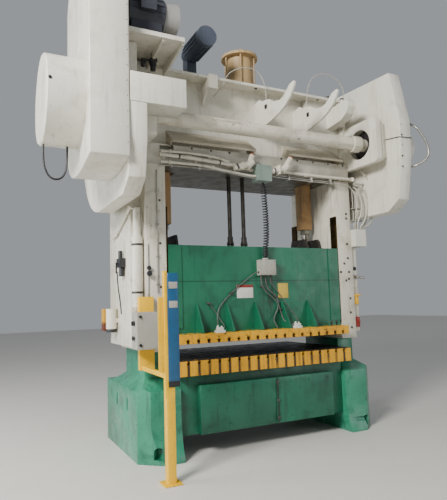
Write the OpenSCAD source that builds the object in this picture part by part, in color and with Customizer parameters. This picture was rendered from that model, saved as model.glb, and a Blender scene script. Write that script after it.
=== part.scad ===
// Straight-side mechanical stamping press: two connections, twin end drive, air clutch on the left.
// X runs along the bed, Y from front to back, Z up. The origin lies on the floor under the bed's middle.
// All lengths are in millimetres.

/* [Bolster and bed] */
// Gap between the bolster and each upright
bolster_gap = 45; // [35:5:80]
// Depth of the bolster from front to back
bolster_d = 1400; // [1340:10:1440]
// Height of the bolster's top face above the floor
bolster_z = 1000; // [985:5:1015]
// Thickness of the bolster plate
bolster_t = 155; // [120:5:165]
// Distance of the outermost T-slot from the bolster's end
slot_edge = 105; // [90:5:180]
// Number of T-slots
slot_n = 18; // [8:1:18]
// Width of a T-slot's neck
slot_neck_w = 20; // [16:1:26]
// Width of a T-slot's head
slot_head_w = 38; // [32:1:48]
// Height of a T-slot's head
slot_head_h = 16; // [12:1:20]
// Depth of metal over a T-slot's head
slot_lip = 22; // [16:1:28]
// Depth of the bed box from front to back
bed_d = 1100; // [1040:10:1160]
// Height of the bed's underside above the floor
bed_gap = 215; // [180:5:260]
// Wall of the bed box
bed_wall = 50; // [30:5:70]
// How far the bed's front panel stands out of the bed box
bed_panel_t = 100; // [60:5:120]
// Distance of the bed front panel's end from an upright
bed_panel_inset = 300; // [220:10:420]
// Height of the bed front panel's top ledge above the floor
bed_panel_z = 730; // [650:5:780]

/* [Legs] */
// How far a leg reaches out past an upright's inner face
leg_reach = 354; // [320:2:390]
// Depth of a leg from front to back
leg_d = 1440; // [1400:10:1500]
// Height of a leg up to its shoulder
leg_h = 715; // [690:5:740]
// Thickness of a leg along X
leg_t = 444; // [420:4:470]
// Length of the leg's corner chamfer along X
leg_chamfer_x = 224; // [180:4:250]
// Length of the leg's corner chamfer along Y
leg_chamfer_y = 200; // [160:5:240]
// Height of the sloping shoulder between leg and waist
shoulder_h = 110; // [80:5:130]
// Height of the seat between waist and upright above the floor
waist_z = 1100; // [1060:5:1140]
// Depth of the waist from front to back
waist_d = 700; // [640:10:760]
// How far the waist's middle lies in front of the frame's middle
waist_shift = 50; // [0:5:80]
// Wall of the hollow leg casting
leg_wall = 50; // [35:5:60]
// Diameter of the holes for the floor bolts
anchor_hole_d = 40; // [30:1:46]
// Distance of the floor bolts from the leg's outer face
anchor_inset = 204; // [196:1:212]
// Distance of the floor bolts from the leg's front face
anchor_front = 95; // [87:1:103]

/* [Uprights and crown] */
// Clear width between the two uprights
clear_w = 2340; // [2300:10:2400]
// Width of an upright's main column along X
column_w = 230; // [225:1:240]
// Depth of uprights and crown from front to back
frame_d = 1000; // [980:5:1030]
// Plate thickness of an upright
column_wall = 32; // [20:1:40]
// Width of the box on an upright's outer side
side_box_w = 120; // [90:5:140]
// Depth of the box on an upright's outer side
side_box_d = 900; // [820:10:940]
// Height of the crown's underside above the floor
crown_z = 3130; // [3120:1:3140]
// Height of the crown
crown_h = 1120; // [1100:5:1130]
// Plate thickness of the crown
crown_wall = 30; // [24:1:36]
// Depth of the crown's front and back flanges
crown_flange_d = 110; // [80:5:120]
// Height of the nose block on the crown's front
crown_nose_h = 160; // [140:5:180]
// Height of the crown's lower chord
crown_chord_h = 230; // [200:5:240]
// Diameter of a tie rod
tie_rod_d = 90; // [70:2:100]

/* [Drive] */
// Height of the crankshaft and back shaft above the floor
shaft_z = 3565; // [3560:1:3575]
// Module of the bull gears and pinions
gear_module = 20; // [20:1:20]
// Teeth on a bull gear
bull_teeth = 61; // [60:1:61]
// Teeth on a pinion
pinion_teeth = 14; // [14:1:14]
// Play between the teeth at the pitch circle
gear_play = 4; // [3:0.5:5]
// Face width of a bull gear
bull_w = 100; // [80:5:110]
// Diameter of the back shaft
back_shaft_d = 160; // [140:2:170]
// Diameter of the crankshaft
crank_d = 200; // [180:2:206]
// Throw of the crankshaft's eccentrics, half of the stroke
throw = 100; // [80:2:102]
// How far an eccentric stands over the crankshaft at its thin side
eccentric_lap = 5; // [3:1:7]
// Thickness of the strap round an eccentric
strap_t = 40; // [30:2:44]
// Radial gap of every running fit
run_gap = 0.05; // [0.02:0.01:0.09]
// Diameter of the flywheel
flywheel_d = 910; // [860:5:930]
// Width of the flywheel
flywheel_w = 220; // [190:5:230]
// Diameter of the motor's pulley
pulley_d = 260; // [220:5:300]
// Height of the motor's axis above the motor shelf
motor_h = 295; // [285:5:305]
// Diameter of the main motor's body
motor_d = 380; // [340:5:400]
// Distance of the motor's axis in front of the frame's middle
motor_y = 850; // [820:5:880]

/* [Ram] */
// Height of the ram's underside above the floor
ram_z = 1172; // [1150:2:1190]
// Thickness of the ram's slotted plate
ram_plate_t = 100; // [90:1:110]
// Height of the ram's top above the floor
ram_top = 2240; // [2200:5:2260]
// Plate thickness of the ram
ram_wall = 40; // [30:1:45]
// Gap between the ram's slotted plate and each upright
ram_plate_gap = 55; // [45:5:70]
// Thickness of a gib along X
gib_t = 20; // [16:1:24]
// Spacing of the gusset ribs on the ram's front
rib_pitch = 370; // [340:5:375]
// Thickness of a gusset rib
rib_t = 20; // [14:1:26]
// Height of a gusset rib on the ram's front
rib_h = 320; // [260:5:360]
// Sliding gap between ram and gibs
slide_gap = 0.3; // [0.2:0.05:0.5]
// Distance of a connection's middle from an upright's inner face
pitman_inset = 150; // [148:2:170]

/* [Guards and boxes] */
// Wall of a gear guard
guard_wall = 8; // [5:0.5:10]
// Radius of the right gear guard's round back
guard_r = 905; // [890:5:920]
// Width of a gear guard along X
guard_w = 175; // [165:1:180]
// Width of the flywheel guard along X
wheel_guard_w = 370; // [340:5:390]
// Height of the flywheel guard's top above the floor
wheel_guard_top = 5050; // [5000:10:5100]
// Diameter of the clutch drum
drum_d = 860; // [820:5:880]
// Length of the clutch drum along X
drum_w = 355; // [340:5:370]
// Width of the control box
box_w = 210; // [190:2:216]
// Height of the control box
box_h = 370; // [340:5:390]
// Depth of the control box
box_d = 200; // [170:5:230]
// Width of the light curtain
curtain_w = 108; // [90:2:120]
// Height of the light curtain
curtain_h = 1035; // [900:5:1100]
// Side of the square guard post
post_w = 80; // [70:2:90]

/* [Hidden] */
$fn = 64;
e = 0.01;
seat = 0.3;
deg = 180 / PI;

// Frame levels and faces worked out from the sizes above
bolster_w = clear_w - 2 * bolster_gap;
slot_pitch = (bolster_w - 2 * slot_edge) / (slot_n - 1);
bed_panel_w = clear_w - 2 * bed_panel_inset;
leg_span = clear_w + 2 * leg_reach;
anchor_x = leg_span / 2 - anchor_inset;
anchor_y = leg_d / 2 - anchor_front;
ram_plate_w = clear_w - 2 * ram_plate_gap;
pitman_x = clear_w / 2 - pitman_inset;
leg_out = leg_span / 2;
leg_in = leg_out - leg_t;
col_in = clear_w / 2;
col_out = col_in + column_w;
side_out = col_out + side_box_w;
front = -frame_d / 2;
back = frame_d / 2;
crown_top = crown_z + crown_h;
bolster_seat = bolster_z - bolster_t;
shoulder_z = leg_h + shoulder_h;
waist_front = -waist_shift - waist_d / 2;
waist_back = waist_front + waist_d;
tie_x = col_in + column_w / 2;
tie_r = tie_rod_d / 2;
tie_y = [waist_front + 100, waist_back - 100];
web_y = front + crown_flange_d;
recess_y = web_y + 90;

// Drive levels
bull_r = gear_module * bull_teeth / 2;
pinion_r = gear_module * pinion_teeth / 2;
shaft_y = -(bull_r + pinion_r);
shaft_r = back_shaft_d / 2;
crank_r = crank_d / 2;
eccentric_r = crank_r + throw + eccentric_lap;
guard_in = col_out + 200;
guard_out = guard_in + guard_w;
gear_mid = guard_in + guard_w / 2;
drive_in = -guard_out;
drive_out = drive_in - wheel_guard_w;
drum_out = drive_out - drum_w;
flywheel_mid = (drive_in + drive_out) / 2;
shelf_t = 45;
motor_z = crown_top + shelf_t + motor_h;
strap_r = eccentric_r + strap_t;
pitman_w = 160;
crown_gap = pitman_w / 2 + 15;
pitman_shank = 140;
screw_r = 46;
ball_r = 62;
ball_z = ram_top + 60;
shank_end = ball_z + 240;

// Ram levels
ram_out = col_in - gib_t - slide_gap;
ram_body_z = ram_z + ram_plate_t;
saddle_gap = pitman_w / 2 + 8;
saddle_t = 30;
saddle_d = 2 * (throw + pitman_shank / 2 + 30);
ram_slot_y = throw + pitman_shank / 2 + 18;

// Air balance on top of the crown
balance_x = -20;
balance_y = -200;
balance_rod_x = [-230, -40];
balance_r = 165;
balance_h = 450;

// Control side
post_x = -col_out - 63;
post_y = -1250;
channel_x = -col_out - 100;
channel_t = 60;
box_x = -col_out - 180;
box_z = 1155;
box_front = front - channel_t - box_d;

// Free route of the hose below the clutch drum
hose_route = [[-2470, -750, 3134], [-2471, -750, 3080], [-2470, -752, 3010], [-2463, -755, 2940], [-2446,
    -757, 2880],
    [-2420, -758, 2835], [-2385, -759, 2810], [-2345, -759, 2806], [-2306, -758, 2824], [-2277, -756, 2866],
    [-2260, -754, 2930], [-2254, -752, 3000], [-2252, -750, 3070], [-2252, -750, 3134]];
hose_side = [0, 1, 0];
// Free route of the cable that hangs from the crown to the box on the ram
cable_route = [[60, -545, 3009], [60, -546, 2940], [61, -548, 2860], [63, -551, 2780], [66, -554, 2700],
    [69, -556, 2620], [70, -557, 2540], [70, -557, 2460], [68, -556, 2380], [63, -555, 2300],
    [50, -553, 2220], [46, -552, 2150], [46, -552, 2101]];
cable_side = [0, 1, 0];

// Bent grease tubes in front of the crown
tube_a = [[115, -600, -225], [114, -600, -160], [108, -600, -80], [88, -600, 0], [50, -600, 70],
    [-5, -600, 118], [-75, -600, 140], [-150, -600, 140], [-225, -600, 120], [-300, -600, 85],
    [-360, -598, 45], [-405, -594, 0], [-432, -585, -50], [-440, -568, -90], [-444, -525, -118],
    [-448, -450, -135], [-452, -300.3, -160]];
tube_b = [[715, -600, -225], [716, -600, -150], [725, -600, -60], [745, -600, 30],
    [780, -600, 120], [835, -600, 190], [910, -600, 242], [1000, -600, 268], [1095, -600, 265],
    [1185, -600, 238], [1260, -600, 190], [1305, -602, 120], [1318, -605, 40], [1305, -610, -40],
    [1275, -620, -100], [1258, -625, -129]];

// A box between two corners
module block(p, q) {
    translate(p) cube(q - p);
}
// A round bar along X
module bar_x(x0, x1, r, y, z) {
    translate([x0, y, z]) rotate([0, 90, 0]) cylinder(h = x1 - x0, r = r);
}
// A round bar along Y
module bar_y(y0, y1, r, x, z) {
    translate([x, y0, z]) rotate([-90, 0, 0]) cylinder(h = y1 - y0, r = r);
}
// A round bar along Z
module bar_z(z0, z1, r, x, y) {
    translate([x, y, z0]) cylinder(h = z1 - z0, r = r);
}
// A plate whose outline is drawn in Y and Z
module plate_x(x0, x1) {
    translate([x0, 0, 0]) rotate([90, 0, 90]) linear_extrude(x1 - x0) children();
}
// A plate whose outline is drawn in X and Z
module plate_y(y0, y1) {
    translate([0, y1, 0]) rotate([90, 0, 0]) linear_extrude(y1 - y0) children();
}
// A straight rod between two points
module rod(a, b, r) {
    v = b - a;
    translate(a) rotate([0, acos(v[2] / norm(v)), atan2(v[1], v[0])]) cylinder(h = norm(v), r = r);
}
// A pipe along a list of points, with a socket at each bend
module pipe(route, r) {
    last = len(route) - 1;
    for (i = [0:last - 1]) {
        u = unit(route[i + 1] - route[i]) * 0.3 * r;
        rod(i > 0 ? route[i] + u : route[i], i < last - 1 ? route[i + 1] - u : route[i + 1], r);
    }
    if (last > 1) for (i = [1:last - 1]) {
        w = unit(unit(route[i] - route[i - 1]) + unit(route[i + 1] - route[i])) * 1.4 * r;
        rod(route[i] - w, route[i] + w, r * 1.25);
    }
}
module mirrored() {
    mirror([1, 0, 0]) children();
}

// Rings round a route, joined into one closed tube; side is a direction across the route
function unit(v) = v / norm(v);
function heading(p, i) = unit(p[min(i + 1, len(p) - 1)] - p[max(i - 1, 0)]);
function ring(p, i, r, n, side) =
    let (s = unit(cross(heading(p, i), side)), u = cross(heading(p, i), s))
    [for (k = [0:n - 1]) p[i] + r * (cos(360 * k / n) * s + sin(360 * k / n) * u)];
module swept_tube(route, r, n, side) {
    m = len(route);
    points = [for (i = [0:m - 1]) each ring(route, i, r, n, side)];
    sides = [for (i = [0:m - 2]) for (k = [0:n - 1])
        [i * n + k, i * n + (k + 1) % n, (i + 1) * n + (k + 1) % n, (i + 1) * n + k]];
    polyhedron(points, concat(sides, [[for (k = [n - 1:-1:0]) k]], [[for (k = [0:n - 1]) (m - 1) * n + k]]));
}

// Involute gear outline; teeth is the count, turn the angle of one tooth's middle
pressure = 20;
function involute(a) = tan(a) * deg - a;
function half_tooth(r, pitch_r, base_r, teeth, play) =
    90 / teeth + involute(pressure) - involute(acos(min(1, base_r / r))) - play / 4 / pitch_r * deg;
module gear_outline(teeth, turn, tip) {
    pitch_r = gear_module * teeth / 2;
    base_r = pitch_r * cos(pressure);
    root_r = pitch_r - 1.2 * gear_module;
    tip_r = pitch_r + tip * gear_module;
    low_r = max(base_r, root_r);
    radii = [for (k = [0:4]) low_r + (tip_r - low_r) * k / 4];
    flank = [for (r = radii) [r, half_tooth(r, pitch_r, base_r, teeth, gear_play)]];
    polygon([for (i = [0:teeth - 1]) let (a = turn + 360 * i / teeth) each concat(
        [[root_r * cos(a - flank[0][1]), root_r * sin(a - flank[0][1])]],
        [for (f = flank) [f[0] * cos(a - f[1]), f[0] * sin(a - f[1])]],
        [for (k = [4:-1:0]) [flank[k][0] * cos(a + flank[k][1]), flank[k][0] * sin(a + flank[k][1])]],
        [[root_r * cos(a + flank[0][1]), root_r * sin(a + flank[0][1])]])]);
}

// Row of T-slots cut into a plate; z is the plate's face and up is 1 where the slots open upwards
module t_slots(z, up, depth) {
    for (i = [0:slot_n - 1]) translate([(i - (slot_n - 1) / 2) * slot_pitch, 0, z]) mirror([0, 0,
        up > 0 ? 1 : 0]) {
        block([-slot_neck_w / 2, -depth / 2 - 1, -1], [slot_neck_w / 2, depth / 2 + 1, slot_lip + e]);
        block([-slot_head_w / 2, -depth / 2 - 1, slot_lip], [slot_head_w / 2, depth / 2 + 1,
            slot_lip + slot_head_h]);
    }
}

module bed() {
    color("seagreen") difference() {
        union() {
            block([-leg_in, -bed_d / 2, bed_gap], [leg_in, bed_d / 2, bolster_seat]);
            block([-bed_panel_w / 2, -bed_d / 2 - bed_panel_t, bed_gap + 10], [bed_panel_w / 2,
                -bed_d / 2 + e, bed_panel_z]);
        }
        // two open bays below the top plate
        for (s = [-1, 1]) block([s > 0 ? bed_wall / 2 : -leg_in + bed_wall, -bed_d / 2 + bed_wall,
            bed_gap - 1],
            [s > 0 ? leg_in - bed_wall : -bed_wall / 2, bed_d / 2 - bed_wall, bolster_seat - 80]);
        // joint between the two front panels
        block([58, -bed_d / 2 - bed_panel_t - 1, bed_gap], [66, -bed_d / 2 - bed_panel_t + 12,
            bed_panel_z - 70]);
    }
}

// Plan of a leg, cut back by an inset
module leg_plan(inset, chamfer_cut) {
    c = chamfer_cut;
    polygon([[leg_in + inset, -leg_d / 2 + inset], [leg_out - leg_chamfer_x - c, -leg_d / 2 + inset],
        [leg_out - inset, -leg_d / 2 + leg_chamfer_y + c], [leg_out - inset, leg_d / 2 - inset],
        [leg_in + inset, leg_d / 2 - inset]]);
}
// Side view of a leg's flaring front toe
toe_depth = 100;
toe_z = 430;
module leg_side() {
    polygon(concat([[leg_d / 2, 0], [-leg_d / 2, 0]],
        [for (k = [1:8]) [-leg_d / 2 + toe_depth * (1 - pow(1 - k / 8, 2)), toe_z * k / 8]],
        [[-leg_d / 2 + toe_depth, leg_h], [leg_d / 2, leg_h]]));
}
pocket_r = 42;
module anchor_pocket(depth) {
    translate([0, -1, 50]) {
        block([-pocket_r, 0, 0], [pocket_r, depth + 1, 75]);
        bar_y(0, depth + 1, pocket_r, 0, 75);
    }
}
module leg_solid() {
    chamfer_a = atan2(leg_chamfer_y, leg_chamfer_x);
    difference() {
        union() {
            intersection() {
                translate([0, 0, -1]) linear_extrude(leg_h + 2) leg_plan(0, 0);
                plate_x(leg_in - 1, leg_out + 1) leg_side();
            }
            // sloping shoulder
            intersection() {
                plate_x(leg_in, leg_out) polygon([[-leg_d / 2 + toe_depth, leg_h - e], [waist_front,
                    shoulder_z],
                    [waist_back, shoulder_z], [waist_back + 230, leg_h - e]]);
                plate_y(-leg_d / 2, leg_d / 2) polygon([[leg_in, leg_h - e], [col_in, shoulder_z], [col_out,
                    shoulder_z],
                    [leg_out - 12, leg_h - e]]);
                translate([0, 0, leg_h - 2]) linear_extrude(shoulder_h + 4) leg_plan(0, 0);
            }
            block([col_in, waist_front, shoulder_z - e], [col_out, waist_back, waist_z]);
        }
        // hollow underside, with the corners left solid round the floor bolts
        difference() {
            translate([0, 0, -1]) linear_extrude(leg_h - leg_wall + 1) difference() {
                leg_plan(leg_wall, leg_wall * 2.6);
                translate([col_in - 60, waist_front - 60]) square([column_w + 120, waist_d + 120]);
            }
            for (s = [-1, 1]) bar_z(-2, 100, 110, anchor_x, s * anchor_y);
            block([leg_in, -leg_d / 2, -2], [leg_out, -leg_d / 2 + toe_depth + leg_wall, leg_h]);
            for (s = [-1, 1]) block([anchor_x - 130, s * (anchor_y + 20) - 150, -2], [leg_out,
                s * (anchor_y + 20) + 150, 320]);
        }
        // arched pockets for the floor bolts
        translate([anchor_x, -anchor_y, 0]) rotate([0, 0, chamfer_a]) translate([0, -180,
            0]) anchor_pocket(180 + pocket_r);
        translate([anchor_x, leg_d / 2, 0]) rotate([0, 0, 180]) anchor_pocket(leg_d / 2 - anchor_y +
            pocket_r);
        for (s = [-1, 1]) bar_z(-2, 52, anchor_hole_d / 2, anchor_x, s * anchor_y);
        // two louvre slots in the outer side
        for (y = [-155, 260]) block([leg_out - 30, y - 24, 472], [leg_out + 1, y + 24, 600]);
        // tie rod bores
        for (y = tie_y) {
            bar_z(leg_h - 260, waist_z + 1, tie_r + 4, tie_x, y);
            bar_z(-1, leg_h - 260 + e, 90, tie_x, y);
        }
    }
}
module right_leg() {
    color("seagreen") leg_solid();
}
module left_leg() {
    color("seagreen") mirrored() leg_solid();
}

module bolster() {
    color("goldenrod") difference() {
        block([-bolster_w / 2, -bolster_d / 2, bolster_seat], [bolster_w / 2, bolster_d / 2, bolster_z]);
        t_slots(bolster_z, 1, bolster_d);
    }
}

module upright_solid() {
    difference() {
        union() {
            block([col_in, front, waist_z], [col_out, back, crown_z]);
            block([col_out - e, -side_box_d / 2 + 100, waist_z + 50], [side_out, side_box_d / 2 + 100,
                crown_z - 230]);
        }
        block([col_in + column_wall, front + column_wall, waist_z + column_wall],
            [col_out - column_wall / 2, back - column_wall, crown_z - column_wall]);
        block([col_out + column_wall / 2, -side_box_d / 2 + 100 + column_wall / 2,
            waist_z + 50 + column_wall],
            [side_out - column_wall / 2, side_box_d / 2 + 100 - column_wall / 2,
                crown_z - 230 - column_wall]);
        for (y = tie_y) bar_z(waist_z - 1, crown_z + 1, tie_r + 4, tie_x, y);
    }
}
module right_upright() {
    color("antiquewhite") upright_solid();
}
module left_upright() {
    color("antiquewhite") mirrored() upright_solid();
}

// Crown: a box of plates with flanges, diaphragms and bearing bores
crown_end = col_out;
diaphragm_x = pitman_x - crown_gap - 65;
module crown_rib(x) {
    // curved gusset below the top flange
    plate_x(x, x + 26) difference() {
        polygon([[recess_y + e, crown_top - crown_wall / 2], [front + e, crown_top - crown_wall / 2],
            [front + e, crown_top - crown_nose_h], [recess_y + e, crown_top - 310]]);
        translate([front + 20, crown_top - crown_nose_h - 150]) circle(r = 142);
    }
}
module crown() {
    color("antiquewhite") difference() {
        union() {
            block([-crown_end, front, crown_z], [crown_end, back, crown_z + crown_wall]);
            block([-crown_end, front, crown_top - crown_wall], [crown_end, back, crown_top]);
            block([-diaphragm_x, recess_y, crown_z], [diaphragm_x, recess_y + crown_wall, crown_top]);
            block([-crown_end, back - crown_wall, crown_z], [crown_end, back, crown_top]);
            block([-crown_end, front, crown_z], [crown_end, web_y + e, crown_z + crown_chord_h]);
            for (s = [-1, 1]) {
                block([s > 0 ? diaphragm_x : -crown_end, web_y, crown_z], [s > 0 ? crown_end : -diaphragm_x,
                    web_y + crown_wall, crown_top]);
                block([s > 0 ? crown_end - crown_wall - 10 : -crown_end, front, crown_z],
                    [s > 0 ? crown_end : -crown_end + crown_wall + 10, back, crown_top]);
                block([s * diaphragm_x - crown_wall / 2, web_y, crown_z], [s * diaphragm_x + crown_wall / 2,
                    back - e, crown_top]);
                bar_x(s > 0 ? crown_end - 110 : -crown_end + 40 - e,
                    s > 0 ? crown_end - 40 + e : -crown_end + 110, crank_r + 60, 0, shaft_z);
                bar_x(s * diaphragm_x - 55, s * diaphragm_x + 55, crank_r + 60, 0, shaft_z);
            }
            crown_rib(-612);
            block([-621, front - 40, crown_top - crown_nose_h], [-506, front + 30, crown_top + 8]);
        }
        // crankshaft bores
        bar_x(-crown_end - 1, crown_end + 1, crank_r + run_gap, 0, shaft_z);
        // slots for the two connections, the tie rods and the balance rods
        for (s = [-1, 1]) {
            block([s * pitman_x - crown_gap, -ram_slot_y, crown_z - 1], [s * pitman_x + crown_gap,
                ram_slot_y, crown_z + crown_wall + 1]);
            for (y = tie_y) {
                bar_z(crown_z - 1, crown_top + 1, tie_r + 4, s * tie_x, y);
            }
        }
        for (x = balance_rod_x) bar_z(crown_z - 1, crown_z + crown_wall + 1, 42, x, balance_y);
        bar_z(crown_top - crown_wall - 1, crown_top + 1, 40, balance_x, balance_y);
        // open pocket in the chord beside the left upright
        block([-col_in - 55, front - 1, crown_z + 85], [110 - col_in, web_y - 20, crown_z + 215]);
    }
}

module tie_rods() {
    color("dimgray") for (s = [-1, 1]) for (y = tie_y) translate([s * tie_x, y, 0]) {
        bar_z(leg_h - 330, crown_top + 105, tie_r, 0, 0);
        translate([0, 0, crown_top]) cylinder(h = 80, r = tie_r * 1.75, $fn = 6);
        translate([0, 0, leg_h - 260 - 70]) cylinder(h = 70, r = tie_r * 1.75, $fn = 6);
    }
}

gib_z = [ram_body_z + 20, ram_top + 420];
module gib_pair() {
    for (y = [[front, front + 110], [back - 110, back]]) difference() {
        block([col_in - gib_t, y[0], gib_z[0]], [col_in, y[1], gib_z[1]]);
        for (k = [0:5]) bar_x(col_in - gib_t - 1, col_in - gib_t + 9, 15, (y[0] + y[1]) / 2,
            gib_z[0] + 120 + k * 250);
    }
}
module gibs() {
    color("peru") {
        gib_pair();
        mirrored() gib_pair();
    }
}

module ram() {
    color("mediumseagreen") {
        difference() {
            union() {
                difference() {
                    block([-ram_out, front, ram_body_z], [ram_out, back, ram_top]);
                    block([-ram_out + ram_wall, front + ram_wall, ram_body_z + ram_wall],
                        [ram_out - ram_wall, back - ram_wall, ram_top - ram_wall]);
                }
                for (x = [-400, 400]) block([x - 15, front + e, ram_body_z + e], [x + 15, back - e,
                    ram_top - e]);
            }
            for (s = [-1, 1]) block([s * pitman_x - saddle_gap, -ram_slot_y, ram_top - ram_wall - 1],
                [s * pitman_x + saddle_gap, ram_slot_y, ram_top + 1]);
        }
        // gusset ribs down to the slotted plate
        for (k = [0:4]) plate_x((k - 2.5) * rib_pitch + 95 - rib_t / 2,
            (k - 2.5) * rib_pitch + 95 + rib_t / 2)
            polygon([[front, ram_body_z], [front, ram_body_z + rib_h], [front - 12, ram_body_z + rib_h],
                [-bolster_d / 2 + 20, ram_body_z + 24], [-bolster_d / 2 + 20, ram_body_z]]);
        // wear strips on the front corners
        for (s = [-1, 1]) block([s > 0 ? ram_out - 150 : -ram_out, front - 12, ram_body_z + 60],
            [s > 0 ? ram_out : -ram_out + 150, front, ram_top]);
    }
}
module ram_slotted_plate() {
    color("gold") difference() {
        block([-ram_plate_w / 2, -bolster_d / 2, ram_z], [ram_plate_w / 2, bolster_d / 2, ram_body_z]);
        t_slots(ram_z, -1, bolster_d);
    }
}
module ram_saddles() {
    color("dimgray") for (s = [-1, 1]) translate([s * pitman_x, 0, 0]) {
        for (m = [-1, 1]) translate([m * (saddle_gap + saddle_t / 2), 0, 0]) plate_x(-saddle_t / 2,
            saddle_t / 2)
            polygon([[-saddle_d / 2, ram_top], [-saddle_d / 2 + 50, ram_top + 160], [saddle_d / 2 - 50,
                ram_top + 160], [saddle_d / 2, ram_top]]);
    }
}

module crankshaft() {
    color("silver") {
        difference() {
            bar_x(-guard_out + 18, guard_out - 18, crank_r, 0, shaft_z);
            for (s = [-1, 1]) bar_x(s * (guard_out - 18) - 12, s * (guard_out - 18) + 12, 20, 0, shaft_z);
        }
        for (s = [-1, 1]) bar_x(s * pitman_x - pitman_w / 2 - 10, s * pitman_x + pitman_w / 2 + 10,
            eccentric_r, 0, shaft_z - throw);
    }
}
module bull_gear(x) {
    difference() {
        translate([x - bull_w / 2, 0, shaft_z]) rotate([90, 0, 90]) difference() {
            linear_extrude(bull_w) gear_outline(bull_teeth, 180, 0.85);
            // web recesses on both faces and lightening holes
            for (z = [-1, bull_w - 25]) translate([0, 0, z]) linear_extrude(26) difference() {
                circle(r = bull_r - 80);
                circle(r = crank_r + 70);
            }
            for (k = [0:5]) rotate([0, 0, k * 60 + 30]) translate([(bull_r + crank_r) / 2, 0,
                -1]) cylinder(h = bull_w + 2, r = 95);
        }
        bar_x(x - bull_w, x + bull_w, crank_r + run_gap, 0, shaft_z);
    }
}
module left_bull_gear() {
    color("slategray") bull_gear(-gear_mid);
}
module right_bull_gear() {
    color("slategray") bull_gear(gear_mid);
}
module pinion(x) {
    difference() {
        translate([x - bull_w / 2 - 5, shaft_y, shaft_z]) rotate([90, 0, 90]) linear_extrude(bull_w + 10)
            gear_outline(pinion_teeth, 180 / pinion_teeth, 0.85);
        bar_x(x - bull_w, x + bull_w, shaft_r + run_gap, shaft_y, shaft_z);
    }
}
module left_pinion() {
    color("slategray") pinion(-gear_mid);
}
module right_pinion() {
    color("slategray") pinion(gear_mid);
}
module main_bearing(x0, x1) {
    difference() {
        bar_x(x0, x1, crank_r + 80, 0, shaft_z);
        bar_x(x0 - 1, x1 + 1, crank_r + run_gap, 0, shaft_z);
    }
}
module main_bearings() {
    color("gray") {
        main_bearing(-guard_in, -crown_end);
        main_bearing(crown_end, guard_in);
    }
}

// Connection: strap round the eccentric, shank and ball screw
module pitman(s) {
    x0 = s * pitman_x - pitman_w / 2;
    difference() {
        union() {
            bar_x(x0, x0 + pitman_w, strap_r, 0, shaft_z - throw);
            block([x0, -pitman_shank / 2, shank_end], [x0 + pitman_w, pitman_shank / 2,
                shaft_z - throw - eccentric_r]);
        }
        bar_x(x0 - 1, x0 + pitman_w + 1, eccentric_r + run_gap, 0, shaft_z - throw);
        bar_z(shank_end - 1, shank_end + 150, screw_r + run_gap, s * pitman_x, 0);
    }
}
module left_pitman() {
    color("sienna") pitman(-1);
}
module right_pitman() {
    color("sienna") pitman(1);
}
module adjusting_screw(s) {
    translate([s * pitman_x, 0, 0]) {
        bar_z(ball_z, shank_end + 140, screw_r, 0, 0);
        translate([0, 0, ball_z]) sphere(ball_r);
        translate([0, 0, shank_end - 60]) cylinder(h = 55, r = 68, $fn = 6);
    }
}
module left_adjusting_screw() {
    color("silver") adjusting_screw(-1);
}
module right_adjusting_screw() {
    color("silver") adjusting_screw(1);
}

shaft_end = guard_out + 200;
module back_shaft() {
    color("antiquewhite") {
        bar_x(drum_out + 60, shaft_end, shaft_r, shaft_y, shaft_z);
        bar_x(crown_end - 140, crown_end - 20, shaft_r + 25, shaft_y, shaft_z);
    }
}
housing_x = [crown_end, guard_in];
module right_bearing_housing() {
    color("antiquewhite") difference() {
        union() {
            plate_x(housing_x[0], housing_x[0] + 70) housing_outline(-1070, 3280, 3850, 60);
            plate_x(housing_x[0] + 70, housing_x[0] + 130) housing_outline(-1050, 3300, 3830, 60);
            plate_x(housing_x[0] + 130, housing_x[1]) housing_outline(-1020, 3330, 3800, 60);
        }
        bar_x(housing_x[0] - 1, housing_x[0] + 120, 190, shaft_y, shaft_z);
        bar_x(housing_x[0], housing_x[1] + 1, shaft_r + run_gap, shaft_y, shaft_z);
    }
}
// Bearing housing seen from the end: its front corners are round
module housing_outline(y0, z0, z1, r) {
    y1 = front + 200;
    for (z = [z0 + r, z1 - r]) translate([y0 + r, z]) circle(r = r);
    polygon([[y0 + r, z0], [y1, z0], [y1, z1], [y0 + r, z1]]);
    polygon([[y0, z0 + r], [y0 + r, z0 + r], [y0 + r, z1 - r], [y0, z1 - r]]);
}
module left_bearing_housing() {
    color("antiquewhite") difference() {
        plate_x(-housing_x[1], -housing_x[0]) housing_outline(-930, 3300, 3830, 40);
        bar_x(-housing_x[1] - 1, -housing_x[0] + 1, shaft_r + run_gap, shaft_y, shaft_z);
    }
}

// Gear guards: D-shaped in side view, drawn round the crankshaft's axis, cut back by an inset
module right_guard_outline(i) {
    circle(r = guard_r - i);
    polygon([[0, guard_r - i], [-1130 + i, 845 - i], [-1260 + i, 205], [-1260 + i, -165], [-1230 + i, -415],
        [-1170 + i, -775 + i / 2], [-980 + i / 2, -guard_r + i], [0, -guard_r + i]]);
}
module left_guard_outline(i) {
    intersection() {
        union() {
            circle(r = guard_r - i);
            polygon([[0, guard_r - i], [-930 + i, guard_r - i], [-930 + i, -75 - i], [-1245 + i, -75 - i],
                [-1230 + i, -415],
                [-1170 + i, -775 + i / 2], [-980 + i / 2, -guard_r + i], [0, -guard_r + i]]);
        }
        translate([-2000, -2000]) square([4000, 2000 + crown_top - 10 - shaft_z - i]);
    }
}
module guard_holes(x0, x1) {
    bar_x(x0, x1, crank_r + 20, 0, shaft_z);
    bar_x(x0, x1, shaft_r + 12, shaft_y, shaft_z);
}
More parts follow.
